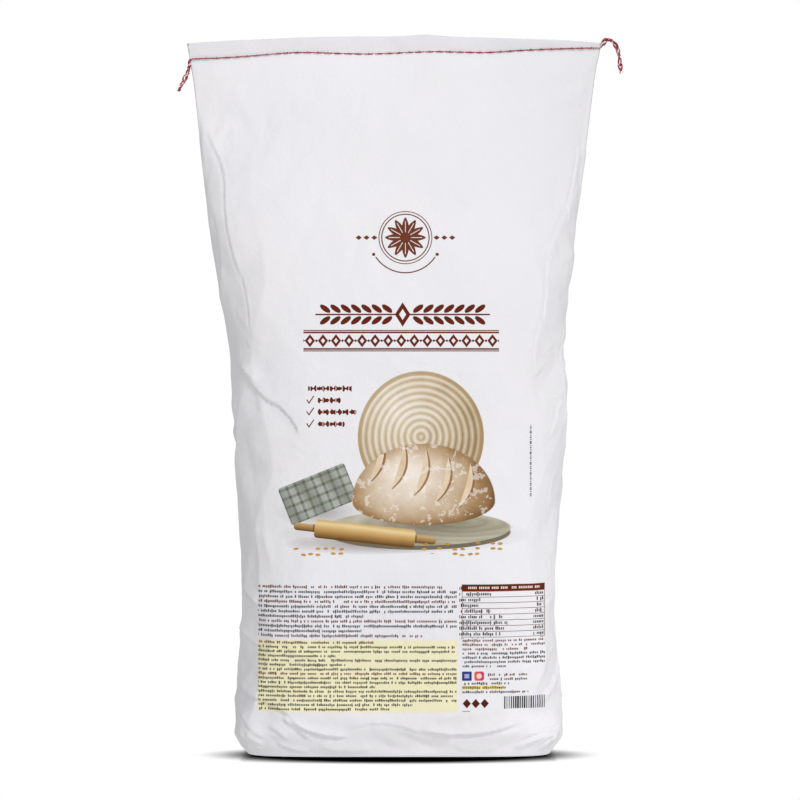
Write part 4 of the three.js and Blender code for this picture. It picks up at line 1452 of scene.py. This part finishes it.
stroke_place = x * (1 / STROKE_PITCH)
from_gap = wave(stroke_place, 1.0)
draw_gap, draw_width, draw_up, draw_down = chance(stroke_place.math("FLOOR"), line, 3.0)
upper = draw_up.math("GREATER_THAN", 0.72) * 0.16 + 0.21
lower = draw_down.math("GREATER_THAN", 0.84) * 0.14 + 0.21
tall = (upper + in_line).math("MINIMUM", lower - in_line)
wide = from_gap - 0.09 - draw_width * 0.13
strokes = soft(wide, STROKE_PITCH / EDGE) * soft(tall, NOTES_PITCH / EDGE) * (draw_gap > 0.16)
draw_end = chance(line, 5.0, 7.0)[0]
full_end = (draw_end * 1.9 + 0.30).math("MINIMUM", 1.0)
left_lines_end = full_end.math("MULTIPLY_ADD", NOTES_RIGHT - NOTES_LEFT, NOTES_LEFT)
right_lines_end = choose(
    in_table,
    full_end.math("MULTIPLY_ADD", COLUMN_RIGHT - COLUMN_LEFT, COLUMN_LEFT),
    draw_end.math("MULTIPLY_ADD", 24.0, COLUMN_LEFT + 9.0),
)
ends = soft(choose(in_column, left_lines_end, right_lines_end) - x)
amounts = soft(draw_end.math("MULTIPLY_ADD", 3.5, -99.5) + x) * in_table * in_column
words = strokes * (ends + amounts).clamp()


def some_lines(*spans):
    """1 on the lines in these spans, each a first and a last number."""
    total = 0.0
    for first, last in spans:
        total = line.math("COMPARE", (first + last) / 2, (last - first) / 2 + 0.4) + total
    return total


print("with words:", len(paper.node_tree.nodes), "nodes")

# %% The blocks of words
GREY_TEXT, BROWN_TEXT = srgb(34, 18, 22), srgb(96, 24, 8)
PANEL_TEXT, PANEL = srgb(32, 24, 2), srgb(238, 232, 196)
headings = some_lines((0, 0), (3, 3), (7, 7), (10, 10), (20, 20), (27, 27), (40, 42), (48, 49))
notes = box(NOTES_LEFT, COLUMN_RIGHT - 0.6, PANEL_TOP + 0.9, NOTES_TOP)
column = box(COLUMN_LEFT, COLUMN_RIGHT + 0.2, 64.4, PANEL_TOP + 1.4)
beside_squares = box(63.4, 92.0, 55.6, 62.0)
under_squares = box(COLUMN_LEFT, 93.0, 46.2, 55.6)
ink(box(NOTES_LEFT - 0.5, NOTES_RIGHT + 0.6, PANEL_LOW, PANEL_TOP), PANEL)
ink(box(45.0, 74.4, 49.3, 52.4), srgb(240, 220, 150))
print_colour = mix(headings, mix(in_panel * (1.0 - in_column), GREY_TEXT, PANEL_TEXT), BROWN_TEXT)
panel_words = box(NOTES_LEFT, NOTES_RIGHT, PANEL_LOW + 0.4, PANEL_TOP - 0.1)
blocks = (notes + column + beside_squares + under_squares + panel_words).clamp()
ink(words * blocks, print_colour)

# %% The table, its head, and the line up the side
ink(box(COLUMN_LEFT - 0.2, COLUMN_RIGHT + 0.2, TABLE_TOP - TABLE_HEAD, TABLE_TOP), srgb(96, 32, 8))
head_strokes = soft(wide, STROKE_PITCH / EDGE) * (draw_gap > 0.2)
head_band = box(COLUMN_LEFT + 3.4, COLUMN_RIGHT - 3.4, TABLE_TOP - 3.2, TABLE_TOP - 1.6)
ink(head_strokes * head_band, srgb(232, 216, 208))
table = box(COLUMN_LEFT - 0.2, COLUMN_RIGHT + 0.2, TABLE_LOW - 0.2, TABLE_TOP - TABLE_HEAD)
row_rule = soft(0.21 - wave(z - TABLE_LOW, row_height))
side_rule = soft(0.21 - (COLUMN_RIGHT - COLUMN_LEFT) / 2 + abs(x - (COLUMN_LEFT + COLUMN_RIGHT) / 2))
ink(table * (row_rule + side_rule).clamp(), srgb(112, 72, 58))
dashes = soft(0.34 - wave(z, 1.5)) + soft(0.46 - wave(z, 3.7))
ink(box(94.2, 95.5, 187.0, 238.4) * dashes.clamp(), srgb(104, 100, 104))

# %% Squares, lozenges and bars
SQUARES_LOW, SQUARES_TOP = 55.8, 62.5
ink(box(45.3, 52.3, SQUARES_LOW, SQUARES_TOP, rounding=0.6), srgb(44, 56, 122))
ink(box(47.1, 50.5, 57.6, 60.7), srgb(160, 168, 206))
across_square = x.math("MULTIPLY_ADD", 1 / 7, -54.1 / 7, clamp=True)
square_colour = mix(across_square, srgb(228, 100, 62), srgb(190, 44, 116))
ink(box(54.1, 61.1, SQUARES_LOW, SQUARES_TOP, rounding=1.6), square_colour)
ink(ellipse(57.6, 59.15, 1.9, 1.9), srgb(246, 206, 196))
BARS_LEFT, BARS_RIGHT, BARS_LOW, BARS_TOP, BAR = 75.2, 105.2, 35.4, 44.4, 1.6
bar_drawn = chance(((x - BARS_LEFT) * (1 / BAR)).math("FLOOR"), 9.0, 2.0)[0]
bars = soft(wave(x - BARS_LEFT, BAR) + bar_drawn * 0.52 - 0.56)
ink(box(BARS_LEFT, BARS_RIGHT, BARS_LOW, BARS_TOP) * bars, srgb(16, 14, 16))
lozenge_reach = wave(x - 48.8, 6.4) * (1 / 3.0) + abs(z - 39.4) * (1 / 3.4)
ink(soft(1.0 - lozenge_reach, 3.0 / EDGE) * box(45.4, 64.9, 35.8, 43.0), srgb(84, 26, 14))
ink(soft(0.30 - wave(z - 33.8, 3.0)) * box(45.6, 51.0, 33.2, 34.4), srgb(150, 146, 148))
print("with blocks:", len(paper.node_tree.nodes), "nodes")

# %% [markdown]
# ### The picture
#
# The middle of the front shows food, in pale dough, straw gold and a grey green. This picture is
# a scored round loaf on a board, with a proofing basket behind it, a rolling pin, a checked cloth
# and some grain. It is painted from the back to the front, each thing as a flat field that a
# colour ramp shades from its lit side to its dark one.


# %% Tools for painting
def ramp(value, *stops):
    """A colour for each number, given as places and colours."""
    return value.node("ShaderNodeValToRGB", {"stops": list(stops)}, {0: value})


CAST_SHADOW = srgb(150, 144, 138)
dusting = noise(75, 3.0, 0.6)
flour = noise(170, 2.0, 0.7)
ink(blurred(4.0, 160.0, 92.0, 13.0, 0.8), CAST_SHADOW, 0.6)

# %% Cloth
cloth_field = field(-57.0, 188.0, turn=22.0)
cloth_place = cloth_field.node("ShaderNodeSeparateXYZ", inputs={0: cloth_field})
p, q = cloth_place, cloth_place.other(1)
cloth = box(-83.0, -32.0, 175.0, 203.0, 22.0, 2.0)
stripes = soft(1.0 - wave(p, 6.4)) + soft(1.0 - wave(q, 6.4))
fold_light = (p * 0.33 + q * 0.12).math("SINE") * 0.28 + 0.42
cloth_colour = mix(fold_light, srgb(132, 136, 128), srgb(186, 189, 184))
ink(blurred(-54.0, 176.0, 34.0, 13.0), CAST_SHADOW, 0.8)
ink(cloth, mix((stripes * 0.55).clamp(), cloth_colour, srgb(98, 106, 84)))

# %% Proofing basket
BASKET_X, BASKET_Z, BASKET_RADIUS, CANE = 16.0, 230.0, 45.0, 4.6
basket_field = field(BASKET_X, BASKET_Z, 1.0, 1.04)
from_basket = basket_field.vector("LENGTH")
cane_round = wave(from_basket, CANE) * (2 / CANE)
basket_light = field(BASKET_X - 16.0, BASKET_Z + 20.0, 78.0, 78.0).vector("LENGTH")
cane_tone = cane_round * 0.46 + basket_light * 0.66 + dusting * 0.30 - 0.10
basket_colour = ramp(
    cane_tone,
    (0.10, srgb(240, 232, 220)),
    (0.35, srgb(222, 210, 192)),
    (0.60, srgb(198, 180, 152)),
    (0.95, srgb(148, 124, 90)),
)
ink(soft(BASKET_RADIUS - from_basket), basket_colour)
ink(soft(1.5 - abs(from_basket - BASKET_RADIUS + 1.5)), srgb(176, 148, 106), 0.55)

# %% Board
BOARD_X, BOARD_Z, BOARD_HALF_X, BOARD_HALF_Z = 14.0, 165.0, 66.0, 12.5
ink(ellipse(BOARD_X, BOARD_Z - 3.0, BOARD_HALF_X, BOARD_HALF_Z), srgb(112, 106, 88))
board_rings = field(BOARD_X + 30.0, BOARD_Z + 4.0, 5.2, 1.0).vector("LENGTH") + dusting * 2.4
board_tone = wave(board_rings, 3.1) * 0.26 + x * 0.0022 + 0.28
board_colour = mix(board_tone, srgb(200, 196, 178), srgb(160, 152, 128))
ink(ellipse(BOARD_X, BOARD_Z, BOARD_HALF_X, BOARD_HALF_Z), board_colour)

# %% Loaf
LOAF_X, LOAF_Z, LOAF_HALF, LOAF_RISE, LOAF_SAG = 18.0, 184.0, 51.0, 41.0, 17.0
ink(blurred(LOAF_X + 5.0, 166.0, 60.0, 9.0, 0.7), srgb(98, 86, 66), 0.7)
domed = z > LOAF_Z
upper_reach = field(LOAF_X, LOAF_Z, LOAF_HALF, LOAF_RISE).vector("LENGTH")
lower_reach = field(LOAF_X, LOAF_Z, LOAF_HALF, LOAF_SAG).vector("LENGTH")
loaf_reach = choose(domed, lower_reach, upper_reach)
loaf = soft(1.0 - loaf_reach, 60.0)
loaf_light = field(LOAF_X - 15.0, LOAF_Z + 20.0, 74.0, 52.0).vector("LENGTH")
loaf_tone = loaf_light * 0.70 + loaf_reach**4.0 * 0.26 + dusting * 0.34 - 0.12
loaf_colour = ramp(
    loaf_tone,
    (0.05, srgb(242, 233, 224)),
    (0.28, srgb(222, 206, 188)),
    (0.48, srgb(196, 172, 142)),
    (0.70, srgb(160, 126, 86)),
    (1.00, srgb(112, 78, 46)),
)
ink(loaf, loaf_colour)
SCORE_TURN, SCORE_PITCH, SCORE_HALF = -16.0, 16.5, 17.0
score_field = field(LOAF_X + 1.0, LOAF_Z + 19.0, turn=SCORE_TURN)
score_place = score_field.node("ShaderNodeSeparateXYZ", inputs={0: score_field})
across_score = score_place + score_place.other(1) ** 2.0 * 0.012
open_width = score_place.other(1).math("MULTIPLY", score_place.other(1)) * (-3.0 / SCORE_HALF**2) + 3.0
scored = soft(2.5 * SCORE_PITCH - abs(across_score)) * loaf
cut = soft(open_width - wave(across_score, SCORE_PITCH)) * scored
torn = soft(open_width * 0.72 - wave(across_score + 0.8, SCORE_PITCH)) * scored
ink(cut, srgb(140, 98, 56), 0.9)
ink(torn, mix(dusting, srgb(206, 176, 136), srgb(238, 222, 200)))
ink(loaf * (flour > 0.60), srgb(246, 240, 235), 0.40)

# %% Rolling pin and grain
PIN_X, PIN_Z, PIN_HALF, PIN_RADIUS, PIN_TURN = -24.0, 161.0, 36.0, 6.6, -6.0
HANDLE_OUT, HANDLE_RADIUS = 15.0, 2.7
pin_field = field(PIN_X, PIN_Z, turn=PIN_TURN)
pin_place = pin_field.node("ShaderNodeSeparateXYZ", inputs={0: pin_field})
roller = box(PIN_X - PIN_HALF, PIN_X + PIN_HALF, PIN_Z - PIN_RADIUS, PIN_Z + PIN_RADIUS, PIN_TURN, 2.4)
handles_left, handles_right = PIN_X - PIN_HALF - HANDLE_OUT, PIN_X + PIN_HALF + HANDLE_OUT
handles = box(handles_left, handles_right, PIN_Z - HANDLE_RADIUS, PIN_Z + HANDLE_RADIUS, PIN_TURN, 2.6)
neck = soft(1.2 - wave(abs(pin_place) - PIN_HALF, 40.0))
pin_grain = noise(26, 3.0, 0.6) * 0.20
pin_tone = pin_place.other(1) * (0.5 / PIN_RADIUS) + 0.42 + pin_grain
pin_colour = ramp(
    pin_tone,
    (0.05, srgb(98, 66, 28)),
    (0.30, srgb(160, 120, 66)),
    (0.58, srgb(204, 168, 108)),
    (0.80, srgb(232, 206, 154)),
    (1.00, srgb(198, 164, 110)),
)
ink(blurred(PIN_X + 3.0, 153.5, 60.0, 7.5, 0.6), srgb(112, 98, 78), 0.55)
handle_tone = pin_place.other(1) * (0.5 / HANDLE_RADIUS) + 0.5
ink(handles, ramp(handle_tone, (0.0, srgb(92, 58, 26)), (1.0, srgb(206, 168, 112))))
ink(handles * neck, srgb(96, 62, 30), 0.7)
ink(roller, pin_colour)

GRAIN_ACROSS, GRAIN_UP = 5.4, 3.9
grain_x, grain_z = x * (1 / GRAIN_ACROSS), z * (1 / GRAIN_UP)
cell_x, cell_z = grain_x.math("FLOOR"), grain_z.math("FLOOR")
grain_there, grain_shade, grain_lean, grain_slip = chance(cell_x, cell_z, 41.0)
off_x = (grain_x - cell_x + grain_shade * 0.3 - 0.65) * GRAIN_ACROSS
off_z = (grain_z - cell_z + grain_slip * 0.3 - 0.65) * GRAIN_UP
tilt = grain_lean * 1.4 - 0.7
along_grain = off_x + off_z * tilt
across_grain = (off_z - off_x * tilt * 0.4) * 2.0
grain_spot = start.node("ShaderNodeCombineXYZ", inputs={0: along_grain, 1: across_grain})
grains = soft(1.9 - grain_spot.vector("LENGTH")) * (grain_there > 0.45)
sown = ellipse(48.0, 151.0, 34.0, 6.0) + ellipse(-50.0, 148.5, 27.0, 4.6)
ink(grains * sown.clamp(), mix(grain_shade, srgb(150, 100, 44), srgb(206, 158, 84)))
print("with the picture:", len(paper.node_tree.nodes), "nodes")

# %% [markdown]
# ### The check list and the needle holes
#
# Beside the picture the real sack lists what it suits. The marks are plain ticks, and the words
# are wavy strokes. Along the stitches, each needle hole is a dark dot of painted shade.

# %% Ticks
TICK_WIDTH = 0.8
HEADING = (264.4, -64.6, -33.4)
SUITS = ((256.0, -57.6, -41.2), (247.6, -57.6, -30.1), (239.0, -57.6, -38.3))
scrawl = (x * 2.2).math("SINE") * 0.5 + (x * 1.3 + z * 0.2).math("SINE") * 0.5
hand_written = 0.0
for row_z, row_left, row_right in (HEADING, *SUITS):
    line_box = soft((row_right - row_left) / 2 - abs(x - (row_left + row_right) / 2))
    hand_written = soft(1.35 + scrawl - abs(z - row_z)) * line_box + hand_written
ink(hand_written.clamp() * soft(2.1 - wave(x + 1.0, 4.6)), BROWN)
for row_z, _, _ in SUITS:
    down_stroke = stroke(-65.4, row_z + 0.2, -63.9, row_z - 2.0, TICK_WIDTH)
    up_stroke = stroke(-63.9, row_z - 2.0, -60.6, row_z + 2.9, TICK_WIDTH)
    ink((down_stroke + up_stroke).clamp(), BROWN)

# %% Painted shade in the needle holes and on the hem, and the finished paper
HEM_PAINTED_SHADE = 0.055  # painted shade: the upright hem above the stitches is a little greyer
HOLE_RADIUS = 0.75
PRINT_BACK, PRINT_TOP = -0.012, 480.0  # ink lies only before this y, in metres, and below this z
hole_x = wave(x - seam_left + STITCH_PITCH / 2, STITCH_PITCH)
above_seam = z - x * (SEAM_CLIMB / FLAT_WIDTH) - SEAM_HEIGHT
for middle, width, rise in SEAM_BOWS:
    bell = (((x - middle) * (1 / width)) ** 2.0 * -1.0).math("EXPONENT")
    above_seam = above_seam - bell * rise
hole_z = (above_seam - 0.3) * 1.3
hole_spot = start.node("ShaderNodeCombineXYZ", inputs={0: hole_x, 1: hole_z})
printed = mix((on_body.other(1) < PRINT_BACK) * (z < PRINT_TOP), white, inked)
# Painted shade makes the hem above the stitches a little greyer.
printed = mix(soft(above_seam - 0.2) * HEM_PAINTED_SHADE, printed, grey(0.0))
# Painted shade: each needle hole is a dark dot, reddish from the thread in it.
painted_hole_shade = soft(HOLE_RADIUS - hole_spot.vector("LENGTH"))
feed(paper_shader, "Base Color", mix(painted_hole_shade * 0.9, printed, srgb(52, 22, 34)))
sack.data.materials.clear()
sack.data.materials.append(paper)
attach(sack, "root")
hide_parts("sack")
print("paper and print:", len(paper.node_tree.nodes), "nodes")
